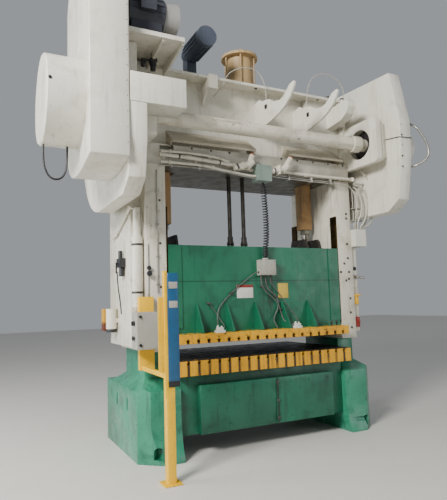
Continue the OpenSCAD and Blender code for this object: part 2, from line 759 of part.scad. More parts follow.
module right_gear_guard() {
    color("antiquewhite") difference() {
        translate([0, 0, shaft_z]) plate_x(guard_in, guard_out) right_guard_outline(0);
        translate([0, 0, shaft_z]) plate_x(guard_in + guard_wall,
            guard_out - guard_wall) right_guard_outline(guard_wall);
        guard_holes(guard_in - 1, guard_in + guard_wall + 1);
        bar_x(guard_out - guard_wall - 1, guard_out + 1, shaft_r + 12, shaft_y, shaft_z);
    }
}
module left_gear_guard() {
    color("antiquewhite") difference() {
        translate([0, 0, shaft_z]) plate_x(-guard_out, -guard_in) left_guard_outline(0);
        translate([0, 0, shaft_z]) plate_x(-guard_out + guard_wall,
            -guard_in - guard_wall) left_guard_outline(guard_wall);
        guard_holes(-guard_in - guard_wall - 1, -guard_in + 1);
        bar_x(-guard_out - 1, -guard_out + guard_wall + 1, shaft_r + 12, shaft_y, shaft_z);
    }
}
cap_r = 250;
cap_l = 375;
module end_cap() {
    color("antiquewhite") translate([guard_out, shaft_y, shaft_z]) rotate([0, 90,
        0]) rotate_extrude() difference() {
        polygon([[0, 0], [cap_r + 45, 0], [cap_r + 45, 14], [cap_r, 14], [cap_r, cap_l - 30], [cap_r - 30,
            cap_l], [0, cap_l]]);
        polygon([[-1, -1], [cap_r - 12, -1], [cap_r - 12, cap_l - 34], [cap_r - 34, cap_l - 12], [-1,
            cap_l - 12]]);
    }
}

// Flywheel with belt grooves; it runs on the back shaft
groove_n = 5;
groove_w = 26;
belt_t = 14;
module flywheel() {
    r = flywheel_d / 2;
    color("darkslategray") translate([flywheel_mid, shaft_y, shaft_z]) rotate([0, 90, 0]) difference() {
        rotate_extrude() difference() {
            translate([shaft_r + run_gap, -flywheel_w / 2]) square([r - shaft_r - run_gap, flywheel_w]);
            for (s = [-1, 1]) translate([shaft_r + 70, s > 0 ? 30 : -flywheel_w / 2 - 1]) square([r -
                shaft_r - 160, flywheel_w / 2 - 29]);
            belt_grooves(r);
        }
        for (k = [0:5]) rotate([0, 0, k * 60]) translate([(r + shaft_r) / 2, 0, -40]) cylinder(h = 80,
            r = 60);
    }
}
module belt_grooves(r) {
    for (k = [0:groove_n - 1]) translate([r, (k - (groove_n - 1) / 2) * (groove_w + 8)])
        polygon([[1, -groove_w / 2 - 1], [-belt_t - 0.7, -groove_w / 2 + 2.5], [-belt_t - 0.7,
            groove_w / 2 - 2.5],
            [1, groove_w / 2 + 1]]);
}
module motor_pulley() {
    r = pulley_d / 2;
    color("darkslategray") translate([0, -motor_y, motor_z]) {
        translate([flywheel_mid, 0, 0]) rotate([0, 90, 0]) rotate_extrude() difference() {
            translate([0, -flywheel_w / 2 + 15]) square([r, flywheel_w - 30]);
            belt_grooves(r);
        }
        bar_x(flywheel_mid, motor_x0 + 60, 28, 0, 0);
    }
}
// A belt's loop round both pulleys, drawn from the flywheel's axis
belt_v = [-motor_y - shaft_y, motor_z - shaft_z];
function arc(c, r, a0, a1, n) = [for (k = [0:n]) let (a = a0 + (a1 - a0) * k / n) [c[0] + r * cos(a),
    c[1] + r * sin(a)]];
module belt_loop(inset) {
    ra = flywheel_d / 2 - inset;
    rb = pulley_d / 2 - inset;
    a = atan2(belt_v[1], belt_v[0]);
    b = acos((ra - rb) / norm(belt_v));
    polygon(concat(arc([0, 0], ra, a + b, a + 360 - b, 48), arc(belt_v, rb, a - b, a + b, 20)));
}
module drive_belts() {
    color("black") for (k = [0:groove_n - 1]) {
        x = flywheel_mid + (k - (groove_n - 1) / 2) * (groove_w + 8);
        translate([0, shaft_y, shaft_z]) plate_x(x - 8, x + 8) difference() {
            belt_loop(0);
            belt_loop(belt_t);
        }
    }
}

// Flywheel guard: tall shell over flywheel, belts and pulley
wheel_guard_y = [-1260, -100];
wheel_guard_z = 2880;
module wheel_guard_outline(i) {
    y0 = wheel_guard_y[0] + i;
    y1 = wheel_guard_y[1] - i;
    z0 = wheel_guard_z + i;
    z1 = wheel_guard_top - i;
    polygon([[y0, z0 + 75], [y0, z1 - 200], [y0 + 30, z1 - 110], [y0 + 90, z1 - 45], [y0 + 190, z1],
        [y1 - 260, z1],
        [y1 - 130, z1 - 30], [y1 - 45, z1 - 110], [y1, z1 - 240], [y1, z0 + 420], [y1 - 20, z0 + 300],
            [y1 - 70, z0 + 190],
        [y1 - 150, z0 + 105], [y1 - 260, z0 + 45], [y1 - 400, z0 + 10], [y0 + 560, z0], [y0 + 380, z0 + 12],
            [y0 + 190, z0 + 38]]);
}
module flywheel_guard() {
    color("antiquewhite") difference() {
        plate_x(drive_out, drive_in) wheel_guard_outline(0);
        plate_x(drive_out + guard_wall, drive_in - guard_wall) wheel_guard_outline(guard_wall);
        bar_x(drive_out - 1, drive_in + 1, shaft_r + 12, shaft_y, shaft_z);
        bar_x(drive_in - guard_wall - 1, drive_in + 1, 60, -motor_y, motor_z);
    }
}
module clutch_drum() {
    r = drum_d / 2;
    color("antiquewhite") translate([drive_out, shaft_y, shaft_z]) rotate([0, -90,
        0]) rotate_extrude() difference() {
        polygon([[0, 0], [r, 0], [r, drum_w - 14], [r - 14, drum_w], [0, drum_w]]);
        polygon([[-1, -1], [r - 10, -1], [r - 10, drum_w - 14], [-1, drum_w - 14]]);
    }
}
module clutch_disc() {
    color("gray") difference() {
        union() {
            bar_x(drive_out - 200, drive_out - 60, 300, shaft_y, shaft_z);
            bar_x(drive_out - 280, drive_out - 200 + e, 170, shaft_y, shaft_z);
        }
        bar_x(drum_out, drive_out, shaft_r + run_gap, shaft_y, shaft_z);
    }
}
cover_front = -1250;
module shaft_cover() {
    color("antiquewhite") difference() {
        block([-guard_out + 5, cover_front, shaft_z - 75], [-col_in - 30, -930, shaft_z + 215]);
        block([-guard_out + 13, cover_front + 8, shaft_z - 67], [-col_in - 38, -938, shaft_z + 207]);
    }
}

shelf_x = [-guard_out + 10, 20 - col_in];
shelf_y = [-1110, -100];
module motor_shelf() {
    color("antiquewhite") {
        difference() {
            block([shelf_x[0], shelf_y[0], crown_top], [shelf_x[1], shelf_y[1], crown_top + shelf_t]);
            bar_z(crown_top - 1, crown_top + shelf_t + 1, tie_r * 1.75 + 10, -tie_x, tie_y[0]);
        }
        for (x = [-crown_end + 15, shelf_x[1] - 25]) plate_x(x, x + 25)
            polygon([[shelf_y[0] + 30, crown_top + e], [front, crown_top + e], [front, crown_top - 125],
                [shelf_y[0] + 30, crown_top - 22]]);
    }
}
motor_x0 = 75 - guard_out;
motor_x1 = motor_x0 + 380;
module main_motor() {
    r = motor_d / 2;
    foot = crown_top + shelf_t;
    color("dimgray") difference() {
        union() {
            bar_x(motor_x0, motor_x1, r, -motor_y, motor_z);
            bar_x(motor_x1 - e, motor_x1 + 160, r - 22, -motor_y, motor_z);
            bar_x(motor_x0 - 30, motor_x0 + e, r - 60, -motor_y, motor_z);
            for (k = [0:17]) translate([0, -motor_y, motor_z]) rotate([k * 20, 0, 0]) block([motor_x0 + 20,
                -5, r - 6], [motor_x1 - 20, 5, r + 10]);
            for (s = [-1, 1]) block([motor_x0 + 30, -motor_y + s * 110 - 30, foot], [motor_x1 - 30,
                -motor_y + s * 110 + 30, motor_z - 100]);
            block([motor_x0 + 10, -motor_y - 190, foot], [motor_x1 - 10, -motor_y + 190, foot + 40]);
            block([motor_x0 + 100, -motor_y - r - 60, motor_z - 60], [motor_x0 + 260, -motor_y - r + 30,
                motor_z + 60]);
        }
        bar_x(motor_x0 - 40, motor_x0 + 70, 28 + run_gap, -motor_y, motor_z);
    }
}
// Motor with cooling ribs that turns both adjusting screws, on its gear case
adjust_r = 110;
module adjusting_motor() {
    x = 470 - col_in;
    z = crown_top + 375;
    color("slategray") {
        bar_y(-640, -200, adjust_r, x, z);
        bar_y(-700, -640 + e, adjust_r + 8, x, z);
        bar_y(-200 - e, -130, adjust_r - 15, x, z);
        for (k = [0:17]) translate([x, 0, z]) rotate([0, k * 20, 0]) block([-4, -625, adjust_r - 4], [4,
            -240, adjust_r + 13]);
        block([x - 60, -235, crown_top], [x + 60, -95, z - 60]);
        block([x - 90, -270, crown_top], [x + 90, -60, crown_top + 40]);
    }
}

// Air balance: cylinder on the crown, piston, yoke and two pull rods
module counterbalance_cylinder() {
    z1 = crown_top + balance_h;
    color("tan") {
        difference() {
            union() {
                bar_z(crown_top, crown_top + 30, balance_r + 60, balance_x, balance_y);
                bar_z(crown_top, z1, balance_r, balance_x, balance_y);
                bar_z(z1 - 22, z1 + 10, balance_r + 67, balance_x, balance_y);
            }
            bar_z(crown_top + 20, z1 - 12, balance_r - 14, balance_x, balance_y);
            bar_z(crown_top - 1, crown_top + 21, 40, balance_x, balance_y);
        }
        for (k = [0:5]) translate([balance_x, balance_y, 0]) rotate([0, 0,
            k * 60 + 6]) translate([balance_r + 38, 0, 0]) {
            bar_z(crown_top + 20, z1 + 34, 9, 0, 0);
            translate([0, 0, z1 + 10]) cylinder(h = 14, r = 17, $fn = 6);
        }
    }
}
yoke_z = 3660;
module counterbalance_rods() {
    color("#222222") {
        for (x = balance_rod_x) {
            bar_z(ram_top + 60, yoke_z + 10, 25, x, balance_y);
            bar_z(ram_top, ram_top + 18, 55, x, balance_y);
            for (s = [-1, 1]) block([x + s * 24 - 8, balance_y - 26, ram_top + 10], [x + s * 24 + 8,
                balance_y + 26, ram_top + 90]);
            bar_x(x - 45, x + 45, 12, balance_y, ram_top + 60);
            bar_z(ram_top + 60, ram_top + 150, 34, x, balance_y);
        }
        block([balance_rod_x[0] - 50, balance_y - 35, yoke_z], [balance_x + 60, balance_y + 35,
            yoke_z + 60]);
        bar_z(yoke_z + 60, crown_top + 130, 30, balance_x, balance_y);
        bar_z(crown_top + 120, crown_top + 165, balance_r - 14 - seat, balance_x, balance_y);
    }
}

module grease_tubes() {
    color("gainsboro") translate([0, 0, crown_top]) {
        swept_tube(tube_a, 5, 8, [0, 1, 0]);
        swept_tube(tube_b, 5, 8, [0, 1, 0]);
    }
}

// Two hooked plates that stand out of the crown's front above the back shaft
module hook_plates() {
    color("antiquewhite") for (x = [100, 700]) translate([0, 0, crown_top]) plate_x(x, x + 30) difference() {
        polygon([[recess_y, -190], [web_y, -180], [-457, -172], [-520, -215], [-610, -228], [-688, -248],
            [-790, -315], [-914, -342], [-985, -325], [-1050, -285], [-1118, -238], [-1200, -228],
            [-1217, -250], [-1180, -315], [-1120, -380], [-1010, -445], [-892, -485], [-700, -522],
            [-560, -534], [recess_y, -560]]);
        translate([-640, -320]) circle(r = 12);
    }
}

// Sloping panels below the back shaft, on the crown's front
panel_z = crown_z + 430;
module crown_panel(x0, x1) {
    lip = front - 110;
    plate_x(x0, x1) polygon([[web_y, panel_z], [lip, panel_z - 170], [lip, panel_z - 196], [lip + 10,
        panel_z - 196],
        [lip + 10, panel_z - 174], [web_y, panel_z - 12]]);
    for (x = [x0, x1 - 10]) plate_x(x, x + 10) polygon([[web_y, panel_z - 12], [lip + 10, panel_z - 174],
        [front, crown_z + 200],
        [front, crown_z + crown_chord_h], [web_y, crown_z + crown_chord_h]]);
}
module crown_panels() {
    color("antiquewhite") {
        crown_panel(60 - col_in, -60);
        crown_panel(440, col_in + 70);
    }
}
module oil_reservoir() {
    color("antiquewhite") {
        translate([0, 0, crown_top]) plate_x(col_in + 10, col_in + 130) polygon([[web_y, -150],
            [front - 250, -120], [front - 330, -150], [front - 340, -220], [front - 290, -300],
            [front - 180, -360], [web_y, -390]]);
        bar_x(col_in + 130, col_in + 170, 22, front - 120, crown_top - 190);
        bar_z(crown_top - 130, crown_top - 70, 20, col_in + 70, front - 150);
    }
}

// Pipes along the crown, in straight runs with round elbows and clips
module clip_front(x, z, r) {
    block([x - 14, front - 12, z - r - 8], [x + 14, front, z + r + 8]);
}
module crown_pipes() {
    y = front - 34;
    side_y = -side_box_d / 2 + 100 - 34;
    x0 = -col_in - 70;
    x1 = col_out + 66;
    color("gainsboro") {
        pipe([[x0, y, 3230], [x0 + 340, y, 3225], [-300, y, 3190], [-74.5, y, 3150]], 22);
        for (x = [x0 + 60, -800, -380]) clip_front(x, x > -900 ? 3207 : 3228, 22);
        pipe([[-110, y - 60, 3310], [-150, y - 70, 3200], [-340, y - 36, 3150]], 34);
        block([-256, y - 90, 3130], [-244, front, 3215]);
        pipe([[420, y - 76, 3320], [330, y - 90, 3190], [133.5, y - 60, 3140]], 34);
        block([234, y - 122, 3110], [246, front, 3220]);
        pipe([[121.2, y, 3180], [700, y, 3160], [x1 - 20, y, 3160], [x1, side_y, 3158],
            [x1, side_y, 2490 + seat]], 20);
        for (x = [300, 800, col_in + 80]) clip_front(x, x < 500 ? 3174 : 3160, 20);
        for (z = [2560, 2860]) block([x1 - 26, side_y + 8, z], [x1 + 26, side_y + 34, z + 28]);
    }
}
module junction_boxes() {
    color("darkseagreen") block([-70, front - 150, 3010], [120, front, 3200]);
    color("antiquewhite") block([col_out, front - 90, 2270], [col_out + 170, -side_box_d / 2 + 100, 2490]);
}
module ram_junction_box() {
    color("gray") {
        block([-45, front - 90, 1900], [165, front, 2080]);
        bar_z(2080, 2100 - seat, 38, 46, front - 52);
    }
}
module curly_cable() {
    color("#333333") swept_tube(cable_route, 36, 8, cable_side);
}
module clutch_hose() {
    color("#1c1c1c") swept_tube(hose_route, 10, 8, hose_side);
}

// Air tank, lubricator and valve on the left upright's outer side
tank_x = -(col_out + 70);
tank_y = front + 82;
module side_tank() {
    color("antiquewhite") {
        bar_z(1575, 2310, 60, tank_x, tank_y);
        translate([tank_x, tank_y, 1540]) cylinder(h = 35, r1 = 34, r2 = 60);
        translate([tank_x, tank_y, 2310]) cylinder(h = 35, r1 = 60, r2 = 44);
        bar_z(2344, 2640, 42, tank_x, tank_y);
        for (z = [1860, 2280]) block([tank_x - 67, tank_y - 5, z], [tank_x + 67, -side_box_d / 2 + 100,
            z + 22]);
        pipe([[tank_x, tank_y, 2625], [-side_out - 24, tank_y - 10, 2640], [-side_out - 24, 150, 2420],
            [-side_out - 24, 330, 2400]], 14);
        block([-side_out - 30, 200, 2396], [-side_out, 222, 2424]);
    }
}
valve_y = -80;
valve_z = 2060;
module valve_group() {
    x = -side_out;
    color("#3a3a3a") {
        difference() {
            block([x - 70, valve_y - 70, valve_z - 40], [x, valve_y + 70, valve_z + 60]);
            bar_x(x - 71, x - 30, 10 + run_gap, valve_y, valve_z);
        }
        bar_z(valve_z + 60, valve_z + 150, 24, x - 36, valve_y + 30);
        bar_z(valve_z - 140, valve_z - 40, 30, x - 36, valve_y - 20);
    }
    color("antiquewhite") {
        bar_z(1330, 1560, 62, x - 66, 250);
        block([x - 30, 200, 1400], [x, 300, 1450]);
    }
    color("#2a2a2a") bar_z(1290, 1330, 56, x - 66, 250);
    color("sienna") block([x - 110, 420, 1300], [x, 560, 1560]);
}
module valve_handle() {
    x = -side_out - 70;
    color("firebrick") {
        bar_x(x - 26, x + 34, 10, valve_y, valve_z);
        block([x - 26, valve_y - 12, valve_z - 110], [x - 14, valve_y + 12, valve_z + 14]);
    }
}

// Guard post with foot plate, upper arm and arm to the leg
post_top = 850;
arm_w = 32;
arm_d = 45;
arm_x = -col_out - 75;
arm_h = 1055;
module guard_post() {
    color("gold") {
        difference() {
            block([post_x, post_y, 12], [post_x + post_w, post_y + post_w, post_top]);
            block([post_x + 5, post_y + 5, 17], [post_x + post_w - 5, post_y + post_w - 5, post_top - 6]);
        }
        difference() {
            block([post_x - 45, post_y - 45, 0], [post_x + post_w + 45, post_y + post_w + 45, 12]);
            for (s = [-1, 1]) for (t = [-1, 1]) bar_z(-1, 13, 7, post_x + post_w / 2 + s * 62,
                post_y + post_w / 2 + t * 62);
        }
        block([arm_x, post_y, post_top - 90], [post_x, post_y + arm_d, post_top + arm_h]);
        block([arm_x, post_y, post_top], [arm_x + arm_w, post_y + arm_d, post_top + arm_h]);
        block([channel_x, front - channel_t, 930], [channel_x + 160, front, 1680]);
    }
    color("firebrick") block([arm_x, post_y + arm_d, 930], [arm_x + arm_w, front - channel_t, 975]);
}
module light_curtain() {
    x = arm_x + arm_w;
    color("steelblue") {
        block([x, post_y - 10, post_top], [x + curtain_w, post_y + 60, post_top + curtain_h]);
        for (z = [120, curtain_h - 120]) block([x, post_y + 60, post_top + z], [x + 40, post_y + 75,
            post_top + z + 60]);
    }
}
module control_box() {
    color("silver") {
        difference() {
            block([box_x, box_front + 12, box_z], [box_x + box_w, front - channel_t, box_z + box_h]);
            block([box_x + 3, box_front + 11, box_z + 3], [box_x + box_w - 3, front - channel_t - 3,
                box_z + box_h - 3]);
            for (z = [0.3, 0.7]) bar_x(box_x - 1, box_x + 4, 11.5 + run_gap, box_front + 100,
                box_z + z * box_h);
        }
        for (z = [0.2, 0.8]) bar_z(box_z + z * box_h - 20, box_z + z * box_h + 20, 6, box_x + box_w + 7,
            box_front + 20);
        for (z = [0.2, 0.8]) block([box_x + box_w - e, box_front + 17, box_z + z * box_h - 20],
            [box_x + box_w + 5, box_front + 23, box_z + z * box_h + 20]);
    }
}
hinge_x = box_x + box_w + 7;
hinge_y = box_front + 20;
latch_r = 6;
latch_x = box_x + 30;
latch_inset = 45;
latch_z = [box_z + latch_inset, box_z + box_h - latch_inset];
module control_box_door() {
    color("silver") {
        difference() {
            block([box_x, box_front, box_z], [box_x + box_w, box_front + 11.7, box_z + box_h]);
            for (z = latch_z) bar_y(box_front - 1, box_front + 13, latch_r + run_gap, latch_x, z);
        }
        for (z = [0.1, 0.7]) {
            bar_z(box_z + z * box_h - 16, box_z + z * box_h + 16, 6, hinge_x, hinge_y);
            block([box_x + box_w - 10, box_front, box_z + z * box_h - 16], [hinge_x + 3, box_front + 6,
                box_z + z * box_h + 16]);
            block([hinge_x - 3, box_front + 5, box_z + z * box_h - 16], [hinge_x + 3, hinge_y,
                box_z + z * box_h + 16]);
        }
    }
}
// Quarter-turn latch: head outside, shank through the door, cam inside
module latch(z) {
    bar_y(box_front - 12, box_front - seat, 14, latch_x, z);
    bar_y(box_front - 12, box_front + 20, latch_r, latch_x, z);
    block([latch_x - 20, box_front + 15, z - 7], [latch_x + 8, box_front + 19, z + 7]);
    block([latch_x - 3, box_front - 18, z - 14], [latch_x + 3, box_front - 11, z + 14]);
}
module upper_latch() {
    color("dimgray") latch(latch_z[1]);
}
module lower_latch() {
    color("dimgray") latch(latch_z[0]);
}
module box_button() {
    color("antiquewhite") {
        bar_x(box_x - 22, box_x + 12, 11.5, box_front + 100, box_z + 0.3 * box_h);
        bar_x(box_x - 26, box_x - 12, 22, box_front + 100, box_z + 0.3 * box_h);
    }
}
module box_selector() {
    color("antiquewhite") {
        bar_x(box_x - 14, box_x + 12, 11.5, box_front + 100, box_z + 0.7 * box_h);
        bar_x(box_x - 16, box_x - seat, 24, box_front + 100, box_z + 0.7 * box_h);
        block([box_x - 34, box_front + 95, box_z + 0.7 * box_h - 22], [box_x - 15, box_front + 105,
            box_z + 0.7 * box_h + 22]);
    }
}

bed();
left_leg();
right_leg();
bolster();
left_upright();
right_upright();
crown();
tie_rods();
gibs();
ram();
ram_slotted_plate();
ram_saddles();
crankshaft();
left_bull_gear();
right_bull_gear();
main_bearings();
left_pitman();
right_pitman();
left_adjusting_screw();
right_adjusting_screw();
back_shaft();
left_pinion();
right_pinion();
left_bearing_housing();
right_bearing_housing();
left_gear_guard();
right_gear_guard();
end_cap();
flywheel();
flywheel_guard();
clutch_drum();
clutch_disc();
shaft_cover();
motor_shelf();
main_motor();
motor_pulley();
drive_belts();
adjusting_motor();
counterbalance_cylinder();
counterbalance_rods();
grease_tubes();
hook_plates();
crown_panels();
oil_reservoir();
crown_pipes();
junction_boxes();
ram_junction_box();
curly_cable();
clutch_hose();
side_tank();
valve_group();
valve_handle();
guard_post();
light_curtain();
control_box();
control_box_door();
upper_latch();
lower_latch();
box_button();
box_selector();
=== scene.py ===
import bpy
import bmesh
import math
from mathutils import Matrix, Vector


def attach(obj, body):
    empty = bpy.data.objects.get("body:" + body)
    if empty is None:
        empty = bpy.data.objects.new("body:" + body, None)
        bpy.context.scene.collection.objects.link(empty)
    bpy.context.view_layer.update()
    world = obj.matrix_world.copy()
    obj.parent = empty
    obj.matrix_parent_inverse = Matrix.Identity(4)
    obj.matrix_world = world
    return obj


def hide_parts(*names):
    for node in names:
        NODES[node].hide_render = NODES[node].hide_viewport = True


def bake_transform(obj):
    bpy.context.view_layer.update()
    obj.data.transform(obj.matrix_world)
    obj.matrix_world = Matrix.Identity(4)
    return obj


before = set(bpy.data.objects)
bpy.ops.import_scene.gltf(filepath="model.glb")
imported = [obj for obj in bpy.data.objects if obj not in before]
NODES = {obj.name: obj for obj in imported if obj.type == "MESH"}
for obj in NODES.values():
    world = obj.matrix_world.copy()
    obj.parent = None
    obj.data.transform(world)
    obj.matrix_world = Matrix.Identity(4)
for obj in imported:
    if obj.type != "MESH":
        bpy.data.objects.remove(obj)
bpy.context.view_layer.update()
scene = bpy.context.scene

# Faces and axes of the press that the fittings stand on, in metres
SLOT_PITCH = 0.12
BOLSTER_TOP = 1.0
PLATE_UNDER = 1.172
PLATE_TOP = 1.272
FRONT_Y = -0.5
SHAFT_Y = -0.75
SHAFT_Z = 3.565
MOTOR_Y = -0.85
MOTOR_Z = 4.59
CROWN_FOOT = 3.132
RAM_SEAM = 1.838
RAM_BOX_X = 0.12

# How far a fitting's foot is let into the face that carries it
SUNK = 0.0005

# Directions that bolts stand in
FORWARD = (0, -1, 0)
UPWARD = (0, 0, 1)
DOWNWARD = (0, 0, -1)

# The direction that a tube's first ring of points is turned to
TUBE_SIDE = (0.2, 0.9, 0.3)


# Colours and patterns
def srgb(code):
    """Linear colour from a hex code as seen on a screen."""
    linear = []
    for start in (0, 2, 4):
        share = int(code[start:start + 2], 16) / 255
        linear.append(share / 12.92 if share <= 0.04045 else ((share + 0.055) / 1.055) ** 2.4)
    return (*linear, 1.0)


def join(mat, node, links):
    """Gives each named socket of a node its value or its link."""
    for socket, source in dict(links).items():
        if hasattr(source, "is_output"):
            mat.node_tree.links.new(source, node.inputs[socket])
        else:
            node.inputs[socket].default_value = source


def add(mat, kind, links=(), **settings):
    """Adds a node to a material, with its settings and links."""
    node = mat.node_tree.nodes.new(kind)
    for setting, value in settings.items():
        setattr(node, setting, value)
    join(mat, node, links)
    return node


def mottle(mat, size_mm, detail, low, high, least=0.0, most=1.0, stretch=(1, 1, 1), rough=0.55, twist=0.0):
    """Uneven patches of a real size, least below the low level and most above the high one."""
    point = add(mat, "ShaderNodeTexCoord").outputs["Object"]
    along = add(mat, "ShaderNodeMapping", {"Vector": point, "Scale": stretch}).outputs["Vector"]
    cloud = add(mat, "ShaderNodeTexNoise", {
        "Vector": along, "Scale": 1000 / size_mm, "Detail": detail, "Roughness": rough,
        "Distortion": twist})
    levels = {"Value": cloud.outputs["Fac"], "From Min": low, "From Max": high, "To Min": least,
              "To Max": most}
    return add(mat, "ShaderNodeMapRange", levels).outputs["Result"]


def past(mat, axis, low, high, least=0.0, most=1.0):
    """Least before a line across an axis and most past it, fading from low to high in metres."""
    point = add(mat, "ShaderNodeTexCoord").outputs["Object"]
    place = add(mat, "ShaderNodeSeparateXYZ", {0: point}).outputs[axis]
    levels = {"Value": place, "From Min": low, "From Max": high, "To Min": least, "To Max": most}
    return add(mat, "ShaderNodeMapRange", levels).outputs["Result"]


def beside(mat, axis, line, inner, outer, most=1.0, pitch=1.0):
    """Most within inner of a line across an axis and nothing at outer. With a pitch all are shares of it."""
    point = add(mat, "ShaderNodeTexCoord").outputs["Object"]
    place = add(mat, "ShaderNodeSeparateXYZ", {0: point}).outputs[axis]
    if pitch != 1.0:
        turns = add(mat, "ShaderNodeMath", {0: place, 1: pitch}, operation="DIVIDE").outputs[0]
        place = add(mat, "ShaderNodeMath", {0: turns}, operation="FRACT").outputs[0]
    offset = add(mat, "ShaderNodeMath", {0: place, 1: line}, operation="SUBTRACT").outputs[0]
    gap = add(mat, "ShaderNodeMath", {0: offset}, operation="ABSOLUTE").outputs[0]
    levels = {"Value": gap, "From Min": inner, "From Max": outer, "To Min": most, "To Max": 0.0}
    return add(mat, "ShaderNodeMapRange", levels).outputs["Result"]


def cover(mat, under, over, *masks):
    """Lays a colour over another one, as strong as all its masks together."""
    strength = masks[0]
    for mask in masks[1:]:
        both = add(mat, "ShaderNodeMath", {0: strength, 1: mask}, operation="MULTIPLY", use_clamp=True)
        strength = both.outputs[0]
    top = srgb(over) if isinstance(over, str) else over
    return add(mat, "ShaderNodeMix", {0: strength, 6: under, 7: top}, data_type="RGBA").outputs[2]


def surface(name):
    """A new material, still bare."""
    mat = bpy.data.materials.new(name)
    mat.use_nodes = True
    return mat


def shade(mat, grain, strength, depth, sockets):
    """Gives the surface its colour and gloss, and the slopes of a fine grain with a depth in metres."""
    slopes = add(mat, "ShaderNodeBump", {"Height": grain, "Strength": strength, "Distance": depth})
    join(mat, mat.node_tree.nodes["Principled BSDF"], {**sockets, "Normal": slopes.outputs["Normal"]})


# Marks that belong to one piece's coat
def slot_oil_and_die_shade(mat, colour):
    """Black oil below every T-slot, and the two working faces across the die space darkened near black: oily
    steel under painted shade of the die space.
    """
    oil = beside(mat, "X", 0.5, 0.075, 0.20, pitch=SLOT_PITCH)
    upper = past(mat, "Z", 1.235, 1.212)
    broken = mottle(mat, 285.7, 5, 0.18, 0.5, stretch=(5, 5, 0.9))
    colour = cover(mat, colour, "2a1c0c", oil, upper, broken)
    # Painted shade of the die space over the oily steel: the bolster's top and the plate's underside darkened
    # near black
    above_bolster = past(mat, "Z", BOLSTER_TOP - 0.0015, BOLSTER_TOP - 0.0008)
    below_plate = past(mat, "Z", PLATE_UNDER + 0.0015, PLATE_UNDER + 0.0005)
    return cover(mat, colour, "23211f", above_bolster, below_plate)


def crown_mist_and_shade(mat, colour):
    """Oil mist along the crown's foot, and painted shade darkening its underside."""
    mist = mottle(mat, 416.7, 7, 0.3, 0.62)
    colour = cover(mat, colour, "5d5140", past(mat, "Z", 3.42, 3.16), mist, 0.75)
    # Painted shade: the crown's underside darkened to a near black brown
    return cover(mat, colour, "231e18", past(mat, "Z", CROWN_FOOT + 0.002, CROWN_FOOT - 0.001), 0.9)


def curtain_marks(mat, colour):
    """The black end cap at the foot of the light curtain."""
    return cover(mat, colour, "15161a", past(mat, "Z", 0.906, 0.902))


def box_marks(mat, colour):
    """The box beside the right upright is white, the one at the crown's foot green."""
    return cover(mat, colour, "cbc8bd", past(mat, "X", 1.0, 1.1))


def valve_marks(mat, colour):
    """The cream air tank behind the black valves, and behind it the ochre cabinet with its brown foot."""
    behind_valves = past(mat, "Y", 0.180, 0.184)
    colour = cover(mat, colour, "cfcabb", behind_valves, past(mat, "Z", 1.328, 1.332))
    cabinet = cover(mat, srgb("5f2c16"), "b98a1c", past(mat, "Z", 1.38, 1.42))
    return cover(mat, colour, cabinet, past(mat, "Y", 0.400, 0.404))


def ram_marks(mat, colour):
    """Oil that has run down the ram's front below the cable box, and the joint line of its front plates."""
    wide = beside(mat, "X", RAM_BOX_X, 0.02, 0.2)
    below_box = past(mat, "Z", 1.93, 1.88)
    fading = past(mat, "Z", 1.2, 1.7, 0.25, 1.0)
    runs = mottle(mat, 166.7, 6, 0.42, 0.6, stretch=(4, 4, 0.8))
    colour = cover(mat, colour, "0c2219", wide, runs, below_box, fading)
    return cover(mat, colour, "0d2a20", beside(mat, "Z", RAM_SEAM, 0.003, 0.007, 0.8))


# Kinds of finish
def painted(name, base, light, dark, grime, patches=0.5, streaks=0.4, specks=0.3, rough=(0.3, 0.6),
            bump=0.15,
            runs_along=(9, 9, 0.7), chip=None, chip_level=0.72, coat=0.0, marks=None):
    """Brushed enamel: tone patches of 0.6 and 0.2 m, runs 50 mm wide, 26 mm specks and 90 mm chips."""
    mat = surface(name)
    colour = cover(mat, srgb(base), light, mottle(mat, 625, 5, 0.3, 0.7), patches)
    colour = cover(mat, colour, dark, mottle(mat, 222.2, 6, 0.52, 0.75, twist=0.6), patches)
    colour = cover(mat, colour, grime, mottle(mat, 454.5, 5, 0.55, 0.8, stretch=runs_along), streaks)
    colour = cover(mat, colour, grime, mottle(mat, 26.3, 3, 0.62, 0.72), specks)
    if chip:
        colour = cover(mat, colour, chip, mottle(mat, 90.9, 8, chip_level, chip_level + 0.03, rough=0.7))
    if marks:
        colour = marks(mat, colour)
    shade(mat, mottle(mat, 38.5, 5, 0.0, 1.0), bump, 0.002, {
        "Base Color": colour,
        "Roughness": mottle(mat, 142.9, 4, 0.3, 0.7, rough[0], rough[1]),
        "Coat Weight": coat,
        "Coat Roughness": 0.25})
    return mat


def metal(name, base, dark, rough=(0.25, 0.5), metallic=1.0, brush=(1, 1, 1), rust=None, rust_level=0.6,
          oil=None):
    """Bare steel or iron: grain of 110 mm down to 17 mm as coarse as it shows, oil films and rust."""
    mat = surface(name)
    colour = cover(mat, srgb(base), dark, mottle(mat, 111.1, 6, 0.35, 0.7, stretch=brush))
    if oil:
        colour = cover(mat, colour, oil, mottle(mat, 333.3, 6, 0.5, 0.68))
    if rust:
        colour = cover(mat, colour, rust, mottle(mat, 166.7, 9, rust_level, rust_level + 0.12, rough=0.7))
    shade(mat, mottle(mat, 16.7, 4, 0.0, 1.0, stretch=brush), 0.12, 0.001, {
        "Base Color": colour,
        "Metallic": metallic,
        "Roughness": mottle(mat, 50, 4, 0.3, 0.7, rough[0], rough[1], stretch=brush)})
    return mat


def moulded(name, base, dark, rough=(0.4, 0.6), dust_mm=33.3):
    """Rubber, plastic or a cable's sheath, with dust in patches and a grain an eighth as wide."""
    mat = surface(name)
    shade(mat, mottle(mat, dust_mm / 8, 3, 0.0, 1.0), 0.1, 0.0006, {
        "Base Color": cover(mat, srgb(base), dark, mottle(mat, dust_mm, 5, 0.35, 0.7)),
        "Roughness": mottle(mat, dust_mm / 2, 3, 0.3, 0.7, rough[0], rough[1])})
    return mat


